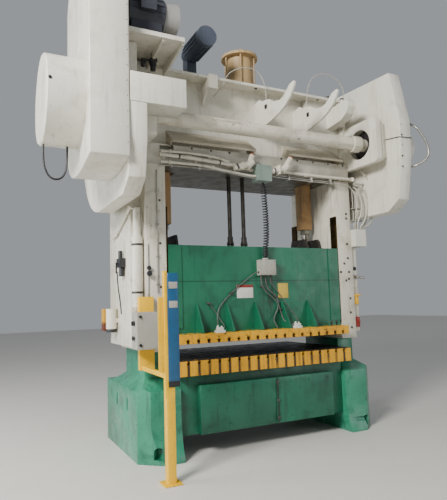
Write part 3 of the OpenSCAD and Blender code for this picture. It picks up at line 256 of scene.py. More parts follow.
# Gloss alkyd enamel, brushed on over castings and plate: a soft shine, tone patches and runs of oil
CREAM = painted("cream enamel", "d4d0c2", "e3e1d8", "b8b19f", "7f725c", 0.6, 0.45, 0.2, (0.28, 0.5),
                chip="6d6252", chip_level=0.75, coat=0.15)
# The same cream enamel where hands and oil reach it: more runs, more chips
CREAM_LOW = painted("cream enamel handled", "c9c4b3", "dad6ca", "a69c86", "6f6250", 0.7, 0.6, 0.45,
                    (0.3, 0.55),
                    chip="5b4f40", chip_level=0.66, coat=0.15)
# The crown's own cream enamel, grimed along its foot where oil mist settles, with painted shade on its
# underside
CREAM_CROWN = painted("cream enamel on the crown", "d0ccbd", "dfddd2", "b1a996", "776a54", 0.7, 0.55, 0.3,
                      (0.28, 0.52), chip="5d5345", chip_level=0.72, coat=0.12, marks=crown_mist_and_shade)
# Thick glossy enamel on the turning back shaft, its dirt drawn out round the shaft
SHAFT = painted("back shaft enamel", "c9c3b1", "d8d3c4", "94866c", "685740", 0.8, 0.7, 0.45, (0.22, 0.5),
                runs_along=(0.7, 6, 6), chip="5b4a36", chip_level=0.63, coat=0.3)
# Dulled enamel on the bent panels below the shaft, browned by its oil and darkened as painted shade under the
# shaft and hooks
PANEL = painted("panel enamel", "a79e8b", "bdb5a3", "857b66", "54493a", 0.8, 0.6, 0.4, (0.35, 0.6),
                runs_along=(0.7, 7, 7))
# Green machine enamel on the ram, darker where oil has soaked in
GREEN = painted("green enamel", "0d573d", "1a6e50", "0a3d2b", "08231a", 0.7, 0.45, 0.25, (0.3, 0.55),
                chip="0a1a14", chip_level=0.73, coat=0.12, marks=ram_marks)
# The same green on the bed, dirtier from all that drips on it, and a little darker as painted shade of the
# dark it stands in
GREEN_BED = painted("green enamel on the bed", "0e523c", "1e6a50", "0a3829", "0c1f17", 0.8, 0.65, 0.45,
                    (0.28, 0.55),
                    chip="131a13", chip_level=0.68, coat=0.12)
# A fresher, shinier coat of it on the cast legs
GREEN_LEG = painted("green enamel on the legs", "13694d", "3a9273", "0c4533", "0e2019", 0.8, 0.6, 0.45,
                    (0.22, 0.48),
                    chip="2c2c20", chip_level=0.67, coat=0.25)
# Yellow enamel on the slotted plates, with black oil that has run out of every slot, and painted shade on the
# two faces across the die space
YELLOW = painted("slotted plate yellow", "cc9200", "dca600", "8f5c00", "2c1c0a", 0.65, 0.7, 0.6,
                 (0.35, 0.62),
                 chip="2c200d", chip_level=0.63, coat=0.05, marks=slot_oil_and_die_shade)
# Clean yellow enamel on the guard post and its arms, only scuffed
POST = painted("post yellow", "e2ae00", "f0c200", "b58700", "553f0e", 0.5, 0.45, 0.3, (0.32, 0.55),
               chip="43330f", chip_level=0.7, coat=0.1)
# Matt tan enamel on the air cylinder, chalky and stained
TAN = painted("tan enamel", "a98d62", "bda47b", "80694a", "453624", 0.7, 0.7, 0.4, (0.45, 0.7),
              chip="3a2c1c", chip_level=0.7)
# Dark blue-gray enamel on the main motor, dulled by dust
MOTOR = painted("motor enamel", "34363e", "474a54", "24252b", "19181c", 0.5, 0.4, 0.3, (0.4, 0.65))
# Lighter blue-gray enamel on the ribbed motor of the height drive
RIBBED = painted("ribbed motor blue-gray", "3a404c", "596170", "262a33", "17171c", 0.6, 0.4, 0.3,
                 (0.35, 0.6))
# Light gray enamel on the pressed cowl of the motor's fan
COWL = painted("gray fan cowl", "8c8a86", "a3a19d", "6d6a66", "4c4640", 0.5, 0.4, 0.3, (0.35, 0.6))
# Satin blue enamel of the light curtain's housing
BLUE = painted("curtain blue", "10466a", "1b5a82", "0b3149", "081a28", 0.4, 0.3, 0.2, (0.35, 0.55),
               coat=0.1, marks=curtain_marks)
# Gray powder coat on the steel boxes, rubbed at its edges
GRAY = painted("box gray", "98968c", "aba89f", "7a776c", "4c473e", 0.5, 0.4, 0.3, (0.35, 0.6),
               chip="4b4740", chip_level=0.74)
# Pale gray-green hammer finish of the box at the crown's foot
BOXGREEN = painted("junction box green", "74857b", "889990", "56645d", "363f39", 0.5, 0.35, 0.3,
                   (0.35, 0.6),
                   marks=box_marks)
# White enamel of small sheet boxes and bare plates
BOXWHITE = painted("box white", "c8c6bd", "d7d5cd", "aaa698", "6f6a5c", 0.5, 0.4, 0.3, (0.35, 0.6))
# Rough tan casting of the connections, brown and wet with way oil
BROWN = painted("oily tan casting", "957248", "ad8a5c", "5c432c", "21160f", 0.8, 0.7, 0.5, (0.35, 0.7),
                bump=0.3)
# Rust-red primer of the pipe caps, dry and pitted
RUST = painted("rusty red", "8a4a2c", "a4613c", "5f2f1c", "2c1610", 0.7, 0.4, 0.5, (0.5, 0.8), bump=0.4)
# Yellow enamel of a bare plate, bleached to straw
OLDYELLOW = painted("old yellow plate", "b59a3a", "c4ab52", "87702a", "3f3416", 0.7, 0.5, 0.4, (0.45, 0.7))
# Red enamel of the stop switch and the plate's band, darkened by hands
RED = painted("red enamel", "7c2419", "93332a", "571712", "2c0f0b", 0.5, 0.4, 0.3, (0.35, 0.6))
# Black valve bodies, a cream air tank and an ochre cabinet, told apart by where they stand
VALVES = painted("valve and cabinet coats", "1f2023", "303136", "151517", "0d0d0e", 0.5, 0.4, 0.3,
                 (0.35, 0.6),
                 marks=valve_marks)
# Turned steel with its drawing lines, under a film of way oil
STEEL = metal("machined steel", "a5a39d", "77736b", (0.2, 0.42), oil="6a5f4e", brush=(1, 14, 14))
# Cast iron as it left the mould: near black, dull, with brown rust in patches
IRON = metal("dark cast iron", "4c4844", "2f2c29", (0.4, 0.65), 0.7, rust="4d3222", rust_level=0.62)
# Black-oxide steel of bolts and clips, gone gray-brown
BOLT = metal("bolt steel", "5f5b55", "3d3a36", (0.4, 0.6), 0.5, rust="4d3524", rust_level=0.58)
# Bearing bronze of the slide bars, dark with oil and darkened further as painted shade of the uprights' inner
# edges
BRASS = metal("gib bronze", "4d3c20", "2c2314", (0.3, 0.5), oil="1d160c")
# Zinc-plated tube and conduit: a dull silver with tan stains at its bends
TUBE = metal("zinc plated tube", "b4b2ab", "8c887e", (0.25, 0.45), 0.8, rust="8a6f52", rust_level=0.7)
# Moulded black rubber of cords, belts and seals
BLACK = moulded("black rubber", "17171a", "26262a")
# Black phenolic and nylon of knobs, latches and caps, with a little more shine
PLASTIC = moulded("black plastic", "1d1d1f", "2c2c2f", (0.3, 0.5))
# White nylon of valve bodies and glands
WHITEPLASTIC = moulded("white plastic", "d2d1c9", "bebcb0", (0.3, 0.5))
# Gray cover of the hoses on the ram
HOSE = moulded("gray hose", "5d5d59", "474743", (0.4, 0.6), 20)
# Milky nylon of oil tubes, smooth and slightly yellowed
OILTUBE = moulded("clear oil tube", "b9b6a8", "99958a", (0.2, 0.4), 20)


def dress(node, mat):
    """Gives a CAD node its material."""
    data = NODES[node].data
    data.materials.clear()
    data.materials.append(mat)


for mat, nodes in (
    (CREAM_CROWN, "crown"), (RIBBED, "adjusting_motor"), (PANEL, "crown_panels"), (SHAFT, "back_shaft"),
    (CREAM, "left_gear_guard right_gear_guard end_cap flywheel_guard clutch_drum shaft_cover motor_shelf "
            "left_bearing_housing right_bearing_housing hook_plates oil_reservoir"),
    (CREAM_LOW, "left_upright right_upright crown_pipes side_tank"), (GREEN, "ram"), (GREEN_BED, "bed"),
    (GREEN_LEG, "left_leg right_leg"), (YELLOW, "bolster ram_slotted_plate"), (POST, "guard_post"),
    (BLUE, "light_curtain"), (GRAY, "control_box control_box_door ram_junction_box"),
    (BOXGREEN, "junction_boxes"), (TAN, "counterbalance_cylinder"), (MOTOR, "main_motor"),
    (BROWN, "left_pitman right_pitman"),
    (IRON,
     "tie_rods ram_saddles flywheel clutch_disc motor_pulley left_bull_gear right_bull_gear main_bearings "
           "counterbalance_rods"),
    (STEEL, "crankshaft left_pinion right_pinion left_adjusting_screw right_adjusting_screw"),
    (BRASS, "gibs"), (BLACK, "drive_belts"), (VALVES, "valve_group"), (OILTUBE, "grease_tubes"),
    (PLASTIC, "box_selector box_button upper_latch lower_latch valve_handle"),
):
    for node in nodes.split():
        dress(node, mat)


# Shapes that the fittings are made of
def finish_piece(name, bm, mat, body="frame", smooth=35.0):
    """Makes a piece of a shape, shaded round below an angle in degrees, and hangs it on a body."""
    bmesh.ops.recalc_face_normals(bm, faces=bm.faces)
    data = bpy.data.meshes.new(name)
    bm.to_mesh(data)
    bm.free()
    for face in data.polygons:
        face.use_smooth = True
    data.set_sharp_from_angle(angle=math.radians(smooth))
    obj = bpy.data.objects.new(name, data)
    scene.collection.objects.link(obj)
    data.materials.append(mat)
    if body:
        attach(obj, body)
    return obj


def piece(mat, body, slot, smooth=35.0):
    """Makes a piece under the name of the function that follows, from the shape that it builds."""
    def build(shape):
        bm = bmesh.new()
        shape(bm)
        return finish_piece(shape.__name__, bm, mat, body, smooth)
    return build


def round_over(bm, made, edges, width):
    """Rounds edges of a new shape over and returns the shape's vertices."""
    rounded = bmesh.ops.bevel(bm, geom=edges, offset=width, segments=2, profile=0.5, affect="EDGES",
                              material=-1)
    kept = {vert for vert in made if vert.is_valid}
    return list(kept | {vert for face in rounded["faces"] for vert in face.verts})


def add_box(bm, low, high, bevel=0.004):
    """A box with softened edges between two corners, in metres."""
    size = [abs(end - start) for start, end in zip(low, high)]
    middle = [(start + end) / 2 for start, end in zip(low, high)]
    made = bmesh.ops.create_cube(bm, size=1.0)["verts"]
    bmesh.ops.scale(bm, vec=size, verts=made)
    edges = list({edge for vert in made for edge in vert.link_edges})
    made = round_over(bm, made, edges, min(bevel, min(size) * 0.3))
    bmesh.ops.translate(bm, vec=middle, verts=made)


def add_bar(bm, start, end, radius, sides=20, bevel=0.002):
    """A round bar between two points, with softened rims. With six sides it is a hex bar."""
    start = Vector(start)
    end = Vector(end)
    way = end - start
    made = bmesh.ops.create_cone(bm, cap_ends=True, segments=sides, radius1=radius, radius2=radius,
                                 depth=way.length)["verts"]
    if bevel:
        edges = {edge for vert in made for edge in vert.link_edges}
        rims = [edge for edge in edges if len([face for face in edge.link_faces if len(face.verts) > 4]) == 1]
        made = round_over(bm, made, rims, min(bevel, radius * 0.3))
    turn = Vector((0, 0, 1)).rotation_difference(way.normalized()).to_matrix().to_4x4()
    bmesh.ops.transform(bm, matrix=Matrix.Translation((start + end) / 2) @ turn, verts=made)


def add_bolt(bm, at, axis, radius=0.014, height=0.011, washer=True):
    """A hex head with its washer, standing on a face at a point."""
    at = Vector(at)
    axis = Vector(axis).normalized()
    if washer:
        add_bar(bm, at - axis * 0.001, at + axis * 0.003, radius * 1.45, 18, 0.001)
    add_bar(bm, at, at + axis * height, radius, 6, 0.0015)


def add_ring(bm, left, right, inner, outer, y, z, sides=48):
    """A flat ring about the X direction, spun from the loop of its cut face."""
    corners = ((left, inner), (right, inner), (right, outer), (left, outer))
    loop = [bm.verts.new((x, y, z + radius)) for x, radius in corners]
    rims = [bm.edges.new((loop[k], loop[(k + 1) % 4])) for k in range(4)]
    bmesh.ops.spin(bm, geom=loop + rims, cent=(0, y, z), axis=(1, 0, 0), angle=2 * math.pi, steps=sides,
                   use_merge=True)


def mm(points):
    """Points in metres from points in millimetres."""
    return [tuple(place / 1000 for place in point) for point in points]


def smooth_route(points, steps=6):
    """Points of a smooth curve through the given ones."""
    knots = [Vector(point) for point in points]
    knots = [knots[0] * 2 - knots[1]] + knots + [knots[-1] * 2 - knots[-2]]
    route = []
    for a, b, c, d in zip(knots, knots[1:], knots[2:], knots[3:]):
        for k in range(steps):
            t = k / steps
            slope = (c - a) * t
            bend = (2 * a - 5 * b + 4 * c - d) * t * t
            twist = (3 * b - a - 3 * c + d) * t ** 3
            route.append(0.5 * (2 * b + slope + bend + twist))
    route.append(knots[-2])
    return route


def add_tube(bm, route, radius, sides=10, side=TUBE_SIDE):
    """A closed round tube along a route, each ring turned on from the one before it."""
    route = [Vector(point) for point in route]
    rings = []
    up = Vector(side)
    for i, point in enumerate(route):
        ahead = (route[min(i + 1, len(route) - 1)] - route[max(i - 1, 0)]).normalized()
        across = ahead.cross(up)
        if across.length < 0.05:
            across = ahead.cross(Vector((1, 0, 0)))
        across.normalize()
        up = across.cross(ahead)
        down = ahead.cross(across)
        angles = [2 * math.pi * k / sides for k in range(sides)]
        rings.append([bm.verts.new(point + radius * (math.cos(angle) * across + math.sin(angle) * down))
                      for angle in angles])
    for first, second in zip(rings, rings[1:]):
        for k in range(sides):
            after = (k + 1) % sides
            bm.faces.new((first[k], first[after], second[after], second[k]))
    bm.faces.new(rings[0][::-1])
    bm.faces.new(rings[-1])


# Castings and plates with softened edges
def soften(node, body, width):
    """The node's own shape with its sharp outer edges rounded over, as thick paint leaves them."""
    bm = bmesh.new()
    bm.from_mesh(NODES[node].data)
    bmesh.ops.remove_doubles(bm, verts=bm.verts, dist=2e-6)
    bmesh.ops.dissolve_limit(bm, angle_limit=math.radians(0.6), use_dissolve_boundaries=False,
                             verts=bm.verts, edges=bm.edges)
    sharp = [edge for edge in bm.edges if len(edge.link_faces) == 2 and edge.is_convex
             and edge.calc_face_angle() > math.radians(38.0) and edge.calc_length() > width * 2.2]
    bmesh.ops.bevel(bm, geom=sharp, offset=width, segments=2, profile=0.5, affect="EDGES", material=-1,
                    clamp_overlap=True)
    piece = finish_piece(node + "_painted", bm, NODES[node].data.materials[0], body, 30.0)
    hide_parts(node)


for node, body, slot, width in (
    ("bed", "frame", "green_paint", 0.006), ("left_leg", "frame", "green_paint", 0.004),
    ("right_leg", "frame", "green_paint", 0.004), ("left_gear_guard", "frame", "cream_paint", 0.008),
    ("right_gear_guard", "frame", "cream_paint", 0.008), ("flywheel_guard", "frame", "cream_paint", 0.012),
    ("shaft_cover", "frame", "cream_paint", 0.008), ("guard_post", "frame", "yellow_paint", 0.003),
    ("light_curtain", "frame", "blue_paint", 0.004), ("control_box_door", "box_door", "gray_paint", 0.003),
    ("left_upright", "frame", "cream_paint", 0.004), ("right_upright", "frame", "cream_paint", 0.004),
    ("hook_plates", "frame", "cream_paint", 0.003), ("left_pitman", "left_connection", "tan_paint", 0.006),
    ("right_pitman", "right_connection", "tan_paint", 0.006),
):
    soften(node, body, width)

# Camera, fitted to the edges and slots that the photo shows
VIEW_WIDTH = 447
FOCAL = 508.6687
SENSOR = 36.0
EYE = Vector((-3.062, -5.682, 1.605))
yaw = math.radians(-26.5136)
pitch = math.radians(5.7995)
roll = math.radians(-1.7215)
ahead = Vector((-math.sin(yaw) * math.cos(pitch), math.cos(yaw) * math.cos(pitch), math.sin(pitch)))
level = Vector((math.cos(yaw), math.sin(yaw), 0))
above = level.cross(ahead)
right = math.cos(roll) * level + math.sin(roll) * above
up = -math.sin(roll) * level + math.cos(roll) * above
camera_data = bpy.data.cameras.new("camera")
camera_data.sensor_fit = "HORIZONTAL"
camera_data.sensor_width = SENSOR
camera_data.lens = FOCAL / VIEW_WIDTH * SENSOR
camera_data.clip_end = 100
camera = bpy.data.objects.new("camera", camera_data)
scene.collection.objects.link(camera)
camera.matrix_world = Matrix.Translation(EYE) @ Matrix((right, up, -ahead)).transposed().to_4x4()
scene.camera = camera

# Cords
hose_route = mm([[-2470, -750, 3134], [-2471, -750, 3080], [-2470, -752, 3010], [-2463, -755, 2940],
                 [-2446, -757, 2880], [-2420, -758, 2835], [-2385, -759, 2810], [-2345, -759, 2806],
                 [-2306, -758, 2824], [-2277, -756, 2866], [-2260, -754, 2930], [-2254, -752, 3000],
                 [-2252, -750, 3070], [-2252, -750, 3134]])
HOSE_RADIUS = 0.010
COIL_RADIUS = 0.036
LEAD_RADIUS = 0.007
COIL_TURNS = 30
COIL_SLACK = 0.0005
cable_route = mm([[60, -545, 3009], [60, -546, 2940], [61, -548, 2860], [63, -551, 2780], [66, -554, 2700],
                  [69, -556, 2620], [70, -557, 2540], [70, -557, 2460], [68, -556, 2380], [63, -555, 2300],
                  [50, -553, 2220], [46, -552, 2150], [46, -552, 2101]])
bm = bmesh.new()
line = smooth_route(hose_route, 4)
add_tube(bm, line, HOSE_RADIUS, 14, (0, 1, 0))
hose = finish_piece("clutch_air_hose", bm, BLACK, "frame", 60)
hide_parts("clutch_hose")


def coil(line, turns, radius, straight=0.06, steps_a_turn=12):
    """Points of a coiled cord about a line, which starts and ends on the line itself."""
    route = []
    steps = turns * steps_a_turn
    for i in range(steps + 1):
        share = i / steps
        place = share * (len(line) - 1)
        k = min(int(place), len(line) - 2)
        middle = line[k].lerp(line[k + 1], place - k)
        spread = radius * min(1.0, share / straight, (1 - share) / straight)
        angle = 2 * math.pi * turns * share
        route.append(middle + Vector((math.cos(angle), math.sin(angle), 0)) * spread)
    return route


bm = bmesh.new()
line = smooth_route(cable_route, 4)
add_tube(bm, coil(line, COIL_TURNS, COIL_RADIUS - LEAD_RADIUS - COIL_SLACK), LEAD_RADIUS, 7, (0.2, 0.3, 1))
cable = finish_piece("ram_cable", bm, BLACK, None, 60)
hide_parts("curly_cable")
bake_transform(cable)

# Fasteners


@piece(BOLT, "frame", "steel")
def upright_bolts(bm):
    """Black hex heads down the fronts of both uprights."""
    for z in range(1308, 3080, 472):
        add_bolt(bm, (-1.236, FRONT_Y, z / 1000), FORWARD, 0.009, 0.007)
    for x, z in ((1.332, 2.700), (1.332, 2.640), (1.324, 2.305), (1.325, 2.120), (1.332, 1.940),
                 (1.201, 1.940), (1.325, 1.850), (1.330, 1.600), (1.325, 1.420), (1.330, 1.230),
                 (1.262, 2.050), (1.280, 1.830), (1.201, 1.250)):
        add_bolt(bm, (x, FRONT_Y, z), FORWARD, 0.011, 0.009)


@piece(CREAM_LOW, "frame", "cream_paint")
def left_upright_bolts(bm):
    """Hex heads down the left upright's front, painted over with it."""
    for z in range(1190, 3080, 236):
        add_bolt(bm, (-1.236, FRONT_Y, z / 1000), FORWARD, 0.010, 0.008)


@piece(BOLT, "frame", "steel")
def crown_bolts(bm):
    """Hex heads along the crown's foot and under its top flange."""
    for x in range(-1080, 1321, 240):
        if x not in (-120, 120):
            add_bolt(bm, (x / 1000, FRONT_Y, 3.345), FORWARD, 0.009, 0.007)
    for x in (0.060, 0.520, 1.000):
        add_bolt(bm, (x, -0.455, 4.220), DOWNWARD, 0.013, 0.010)


@piece(IRON, "frame", "steel")
def guard_bolts(bm):
    """Small screws down the flanges of the flywheel guard and the right gear guard."""
    for z in range(3080, 4860, 148):
        add_bolt(bm, (-1.797, -1.26, z / 1000), FORWARD, 0.005, 0.004, False)
    for z in range(3180, 3720, 130):
        add_bolt(bm, (1.622, -1.262 + abs(z - 3565) * 0.00004, z / 1000), FORWARD, 0.008, 0.006)


@piece(GREEN, "ram", "green_paint")
def ram_bolts(bm):
    """Painted bolts on the ram's top, its right strip and its slotted plate."""
    for side in (-1, 1):
        for y in (-0.3, 0.0, 0.3):
            add_bolt(bm, (side * 0.75, y, 2.24), UPWARD, 0.016, 0.012)
    for x, z in ((1.060, 2.10), (1.060, 1.72), (1.060, 1.42)):
        add_bolt(bm, (x, -0.512, z), FORWARD, 0.008, 0.005, False)
    for x in range(-1020, 1021, 120):
        if x % 360:
            add_bolt(bm, (x / 1000, -0.6, PLATE_TOP), UPWARD, 0.013, 0.012)


# Right shaft housing


@piece(PLASTIC, "frame", "black_rubber")
def shaft_seal(bm):
    """Oil seal deep in the round recess where the back shaft goes in, black so that it also stands as painted
    shade in the gap round the shaft.
    """
    add_ring(bm, 1.470, 1.519, 0.086, 0.150, SHAFT_Y, SHAFT_Z)


@piece(IRON, "frame", "iron")
def seal_retainer(bm):
    """The seal's bolted retainer."""
    add_ring(bm, 1.490, 1.519, 0.152, 0.188, SHAFT_Y, SHAFT_Z)
    circle = 0.170
    for k in range(8):
        angle = math.pi * (k + 0.5) / 4
        at = (1.490, SHAFT_Y + circle * math.cos(angle), SHAFT_Z + circle * math.sin(angle))
        add_bolt(bm, at, (-1, 0, 0), 0.008, 0.007, False)


# Crown details


@piece(IRON, "frame", "iron")
def hook_keepers(bm):
    """Small keeper plates on the hooked plates, with their pins, in dark iron as painted shade of the holes
    they sit over.
    """
    for x, y, z in ((0.1, -0.611, 3.932), (0.7, -0.635, 3.908)):
        add_box(bm, (x - 0.010, y - 0.022, z - 0.022), (x + 0.001, y + 0.022, z + 0.030), 0.003)
        add_bar(bm, (x - 0.022, y, z), (x - 0.008, y, z), 0.009, 16)


@piece(RUST, "frame", "brown_steel")
def pipe_caps(bm):
    """Rust-red caps on the upper ends of the two elbow pipes, each with a hex to turn it."""
    for x, y, z, dx, dz in ((-0.110, -0.594, 3.310, 0.34, 0.94), (0.420, -0.610, 3.320, 0.55, 0.83)):
        add_bar(bm, (x, y, z), (x + 0.020 * dx, y, z + 0.020 * dz), 0.031, 24, 0.004)
        add_bar(bm, (x + 0.020 * dx, y, z + 0.020 * dz), (x + 0.034 * dx, y, z + 0.034 * dz), 0.014, 6)


@piece(BOLT, "frame", "steel")
def pipe_clamps(bm):
    """Clamp bands round the elbow pipes."""
    for start, end, radius in (
        ((-0.290, -0.583, 3.170), (-0.310, -0.577, 3.161), 0.037),
        ((0.200, -0.602, 3.157), (0.180, -0.600, 3.152), 0.037),
        ((-0.500, -0.534, 3.204), (-0.520, -0.534, 3.205), 0.025),
        ((-1.000, -0.534, 3.227), (-1.020, -0.534, 3.2275), 0.025),
    ):
        add_bar(bm, start, end, radius, 28, 0.003)


# Thin oil lines along the crown's foot and down the right upright
OIL_LINE_ROUTES = [
    ([[121, -548, 3120], [300, -548, 3112], [700, -548, 3100], [1150, -546, 3098], [1330, -545, 3090],
      [1405, -542, 3040], [1425, -535, 2960], [1430, -530, 2800], [1430, -528, 2493]], 7),
    ([[121, -560, 3095], [300, -562, 3085], [700, -562, 3076], [1150, -560, 3072], [1300, -558, 3064],
      [1400, -555, 3025], [1448, -550, 2940], [1456, -545, 2800], [1456, -545, 2493]], 7),
    ([[-71, -585, 3060], [-200, -575, 3080], [-420, -545, 3105], [-800, -520, 3118], [-1150, -512, 3118],
      [-1240, -509, 3112]], 8),
    ([[-71, -600, 3035], [-200, -590, 3050], [-420, -560, 3085], [-640, -530, 3118], [-900, -512, 3122],
      [-1120, -509, 3126]], 6),
]


@piece(TUBE, "frame", "steel", 50)
def oil_lines(bm):
    """The oil lines and the clips that hold them."""
    for route, radius in OIL_LINE_ROUTES:
        add_tube(bm, smooth_route(mm(route), 4), radius / 1000, 10)
    for x in (420, 760, 1060):
        add_box(bm, (x / 1000 - 0.012, -0.572, 3.064), (x / 1000 + 0.012, -0.498, 3.132), 0.003)
    for z in (2600, 2760):
        add_box(bm, (1.398, -0.556, z / 1000), (1.560, -0.518, z / 1000 + 0.020), 0.003)
    for x in (-1100, -760):
        add_box(bm, (x / 1000 - 0.012, -0.532, 3.100), (x / 1000 + 0.012, -0.498, 3.138), 0.003)


@piece(OILTUBE, "frame", "cream_paint", 50)
def oil_hoses(bm):
    """Pale hoses from the crown's lower right corner to the white box beside the upright."""
    for route, radius in (
        ([[1428, -572, 3092], [1600, -575, 3098], [1690, -575, 3090], [1722, -575, 3040],
          [1728, -575, 2950], [1722, -575, 2800], [1700, -575, 2640], [1640, -570, 2560],
          [1556, -560, 2525], [1546, -556, 2493]], 13),
        ([[1432, -590, 3070], [1500, -600, 3060], [1570, -610, 3000], [1592, -620, 2900],
          [1590, -620, 2760], [1560, -600, 2620], [1520, -570, 2540], [1514, -560, 2493]], 12),
        ([[1430, -560, 3050], [1462, -570, 3030], [1500, -585, 2960], [1520, -600, 2840],
          [1505, -595, 2700], [1470, -570, 2590], [1462, -555, 2493]], 12),
        ([[1500, -610, 3281], [1580, -650, 3180], [1650, -660, 3060], [1672, -655, 2900],
          [1650, -630, 2740], [1600, -580, 2600], [1580, -540, 2540], [1576, -520, 2493]], 9),
        ([[1404, -560, 3010], [1430, -570, 2980], [1446, -585, 2860], [1436, -590, 2740],
          [1424, -575, 2620], [1426, -555, 2493]], 8),
    ):
        add_tube(bm, smooth_route(mm(route), 5), radius / 1000, 12)


@piece(CREAM_LOW, "frame", "cream_paint", 50)
def crown_conduits(bm):
    """Two cream conduits along the crown's foot on the left, with their saddles."""
    for route, radius in (
        ([[-1230, -540, 3268], [-969, -542, 3276], [-762, -545, 3272], [-520, -548, 3252],
          [-400, -556, 3220]], 15),
        ([[-1230, -535, 3150], [-971, -536, 3152], [-702, -538, 3146], [-488, -545, 3117],
          [-306, -556, 3092], [-130, -580, 3070], [-71, -590, 3068]], 15),
    ):
        add_tube(bm, smooth_route(mm(route), 5), radius / 1000, 14)
    for x, z in ((-1.120, 3.270), (-0.640, 3.258), (-1.120, 3.151), (-0.600, 3.132)):
        add_box(bm, (x - 0.014, -0.560, z - 0.020), (x + 0.014, -0.499, z + 0.020), 0.003)


@piece(WHITEPLASTIC, "frame", "cream_paint")
def metering_valves(bm):
    """Oil metering blocks and their short upright tubes on the crown's right end."""
    for x, z0, z1 in ((1.270, 3.900, 4.180), (1.300, 3.930, 4.160), (1.330, 3.880, 4.200),
                      (1.358, 3.940, 4.150)):
        add_bar(bm, (x, -0.512, z0), (x, -0.512, z1), 0.007, 12)
    for x, z in ((1.270, 4.060), (1.300, 4.000), (1.330, 4.100), (1.358, 4.030)):
        add_box(bm, (x - 0.014, -0.535, z - 0.024), (x + 0.014, -0.499, z + 0.024), 0.004)
    add_box(bm, (1.255, -0.530, 3.868), (1.372, -0.499, 3.898), 0.004)


@piece(PLASTIC, "frame", "black_plastic")
def filler_caps(bm):
    """Black caps on the oil reservoir."""
    add_bar(bm, (1.240, -0.65, 4.180), (1.240, -0.65, 4.200), 0.026, 28, 0.004)
    add_bar(bm, (1.340, -0.620, 4.060), (1.352, -0.620, 4.060), 0.028, 28, 0.004)


@piece(BLACK, "frame", "black_rubber", 50)
def sensor_wire(bm):
    """Sensor wire from the shaft housing over the right gear guard to the end cap."""
    wire = mm([[1598, -916, 3578], [1594, -1040, 3572], [1592, -1160, 3556], [1594, -1240, 3545],
               [1610, -1266, 3540], [1690, -1267, 3542], [1765, -1266, 3546], [1784, -1245, 3550],
               [1790, -1150, 3556], [1790, -1073, 3560]])
    add_tube(bm, smooth_route(wire, 5), 0.005, 10, (0.1, 0.2, 1))


@piece(WHITEPLASTIC, "frame", "black_plastic")
def wire_glands(bm):
    """White glands at the wire's two ends."""
    add_bar(bm, (1.600, -0.905, 3.578), (1.582, -0.905, 3.578), 0.020, 24)
    add_bar(bm, (1.790, -1.046, 3.561), (1.790, -1.074, 3.561), 0.012, 24)


@piece(TUBE, "frame", "steel", 50)
def guard_conduit(bm):
    """Bent steel conduit that stands out past the end cap."""
    bow = mm([[1776, -1105, 3800], [1860, -1120, 3795], [1950, -1200, 3720], [1970, -1300, 3540],
              [1965, -1350, 3370], [1950, -1310, 3280], [1900, -1200, 3230], [1840, -1130, 3212],
              [1776, -1110, 3208]])
    add_tube(bm, smooth_route(bow, 6), 0.014, 14, (0.2, 0.1, 1))


@piece(IRON, "frame", "iron")
def conduit_clamps(bm):
    """The conduit's two clamps on the guard's outer face."""
    for z in (3.800, 3.208):
        add_bar(bm, (1.7705, -1.107, z), (1.790, -1.107, z), 0.024, 28, 0.003)


# Left end details


@piece(PLASTIC, "frame", "black_plastic")
def air_filter(bm):
    """Air filter bowl and lubricator under the motor shelf, with the pipe between them."""
    add_bar(bm, (-1.372, -0.75, 4.060), (-1.372, -0.75, 4.120), 0.030, 28, 0.010)
    add_bar(bm, (-1.372, -0.75, 4.118), (-1.372, -0.75, 4.150), 0.038, 28, 0.004)
    add_bar(bm, (-1.372, -0.75, 4.150), (-1.372, -0.75, 4.2495), 0.016, 20)
    add_box(bm, (-1.412, -0.785, 4.150), (-1.332, -0.715, 4.190), 0.006)
    add_bar(bm, (-1.480, -0.75, 4.090), (-1.480, -0.75, 4.150), 0.026, 28, 0.010)
    add_bar(bm, (-1.480, -0.75, 4.148), (-1.480, -0.75, 4.170), 0.032, 28, 0.004)
    add_bar(bm, (-1.480, -0.75, 4.170), (-1.412, -0.75, 4.172), 0.012, 16)


@piece(BOXWHITE, "frame", "cream_paint")
def crown_end_box(bm):
    """Sheet box on the crown's left end, with a screwed lid."""
    add_box(bm, (-1.548, -0.590, 4.096), (-1.374, FRONT_Y, 4.226), 0.006)
    add_box(bm, (-1.540, -0.596, 4.104), (-1.382, -0.589, 4.218), 0.004)
    for x in (-1.530, -1.392):
        for z in (4.114, 4.208):
            add_bolt(bm, (x, -0.596, z), FORWARD, 0.005, 0.004, False)


@piece(PLASTIC, "frame", "black_plastic")
def drum_plug(bm):
    """Black inspection plug in the clutch drum, standing as painted shade of the inspection hole."""
    add_bar(bm, (-2.470, -1.178, 3.620), (-2.470, -1.186, 3.620), 0.016, 24, 0.003)


@piece(CREAM, "frame", "cream_paint")
def drum_rim(bm):
    """Pressed rim on the drum's end."""
    add_ring(bm, -2.4995, -2.490, 0.300, 0.330, SHAFT_Y, SHAFT_Z, 64)


@piece(COWL, "frame", "motor_paint")
def motor_fan_cowl(bm):
    """Gray cowl over the main motor's fan, with seven bars across."""
    add_ring(bm, -1.318, -1.158, 0.150, 0.173, MOTOR_Y, MOTOR_Z, 56)
    for k in range(7):
        z = MOTOR_Z - 0.120 + k * 0.04
        add_bar(bm, (-1.160, MOTOR_Y - 0.150, z), (-1.160, MOTOR_Y + 0.150, z), 0.003, 8, 0)


# Ram details


@piece(BOXWHITE, "ram", "gray_paint")
def notice_plate_white(bm):
    """Bare white plate on the ram."""
    add_box(bm, (-0.322, -0.5035, 1.640), (-0.108, -0.4995, 1.792), 0.0015)


@piece(RED, "ram", "brown_steel")
def notice_plate_band(bm):
    """The white plate's red band."""
    add_box(bm, (-0.322, -0.5045, 1.760), (-0.108, -0.5030, 1.792), 0.0006)


@piece(OLDYELLOW, "ram", "yellow_paint")
def notice_plate_yellow(bm):
    """Bare yellow plate on the ram."""
    add_box(bm, (0.236, -0.5035, 1.628), (0.378, -0.4995, 1.806), 0.0015)


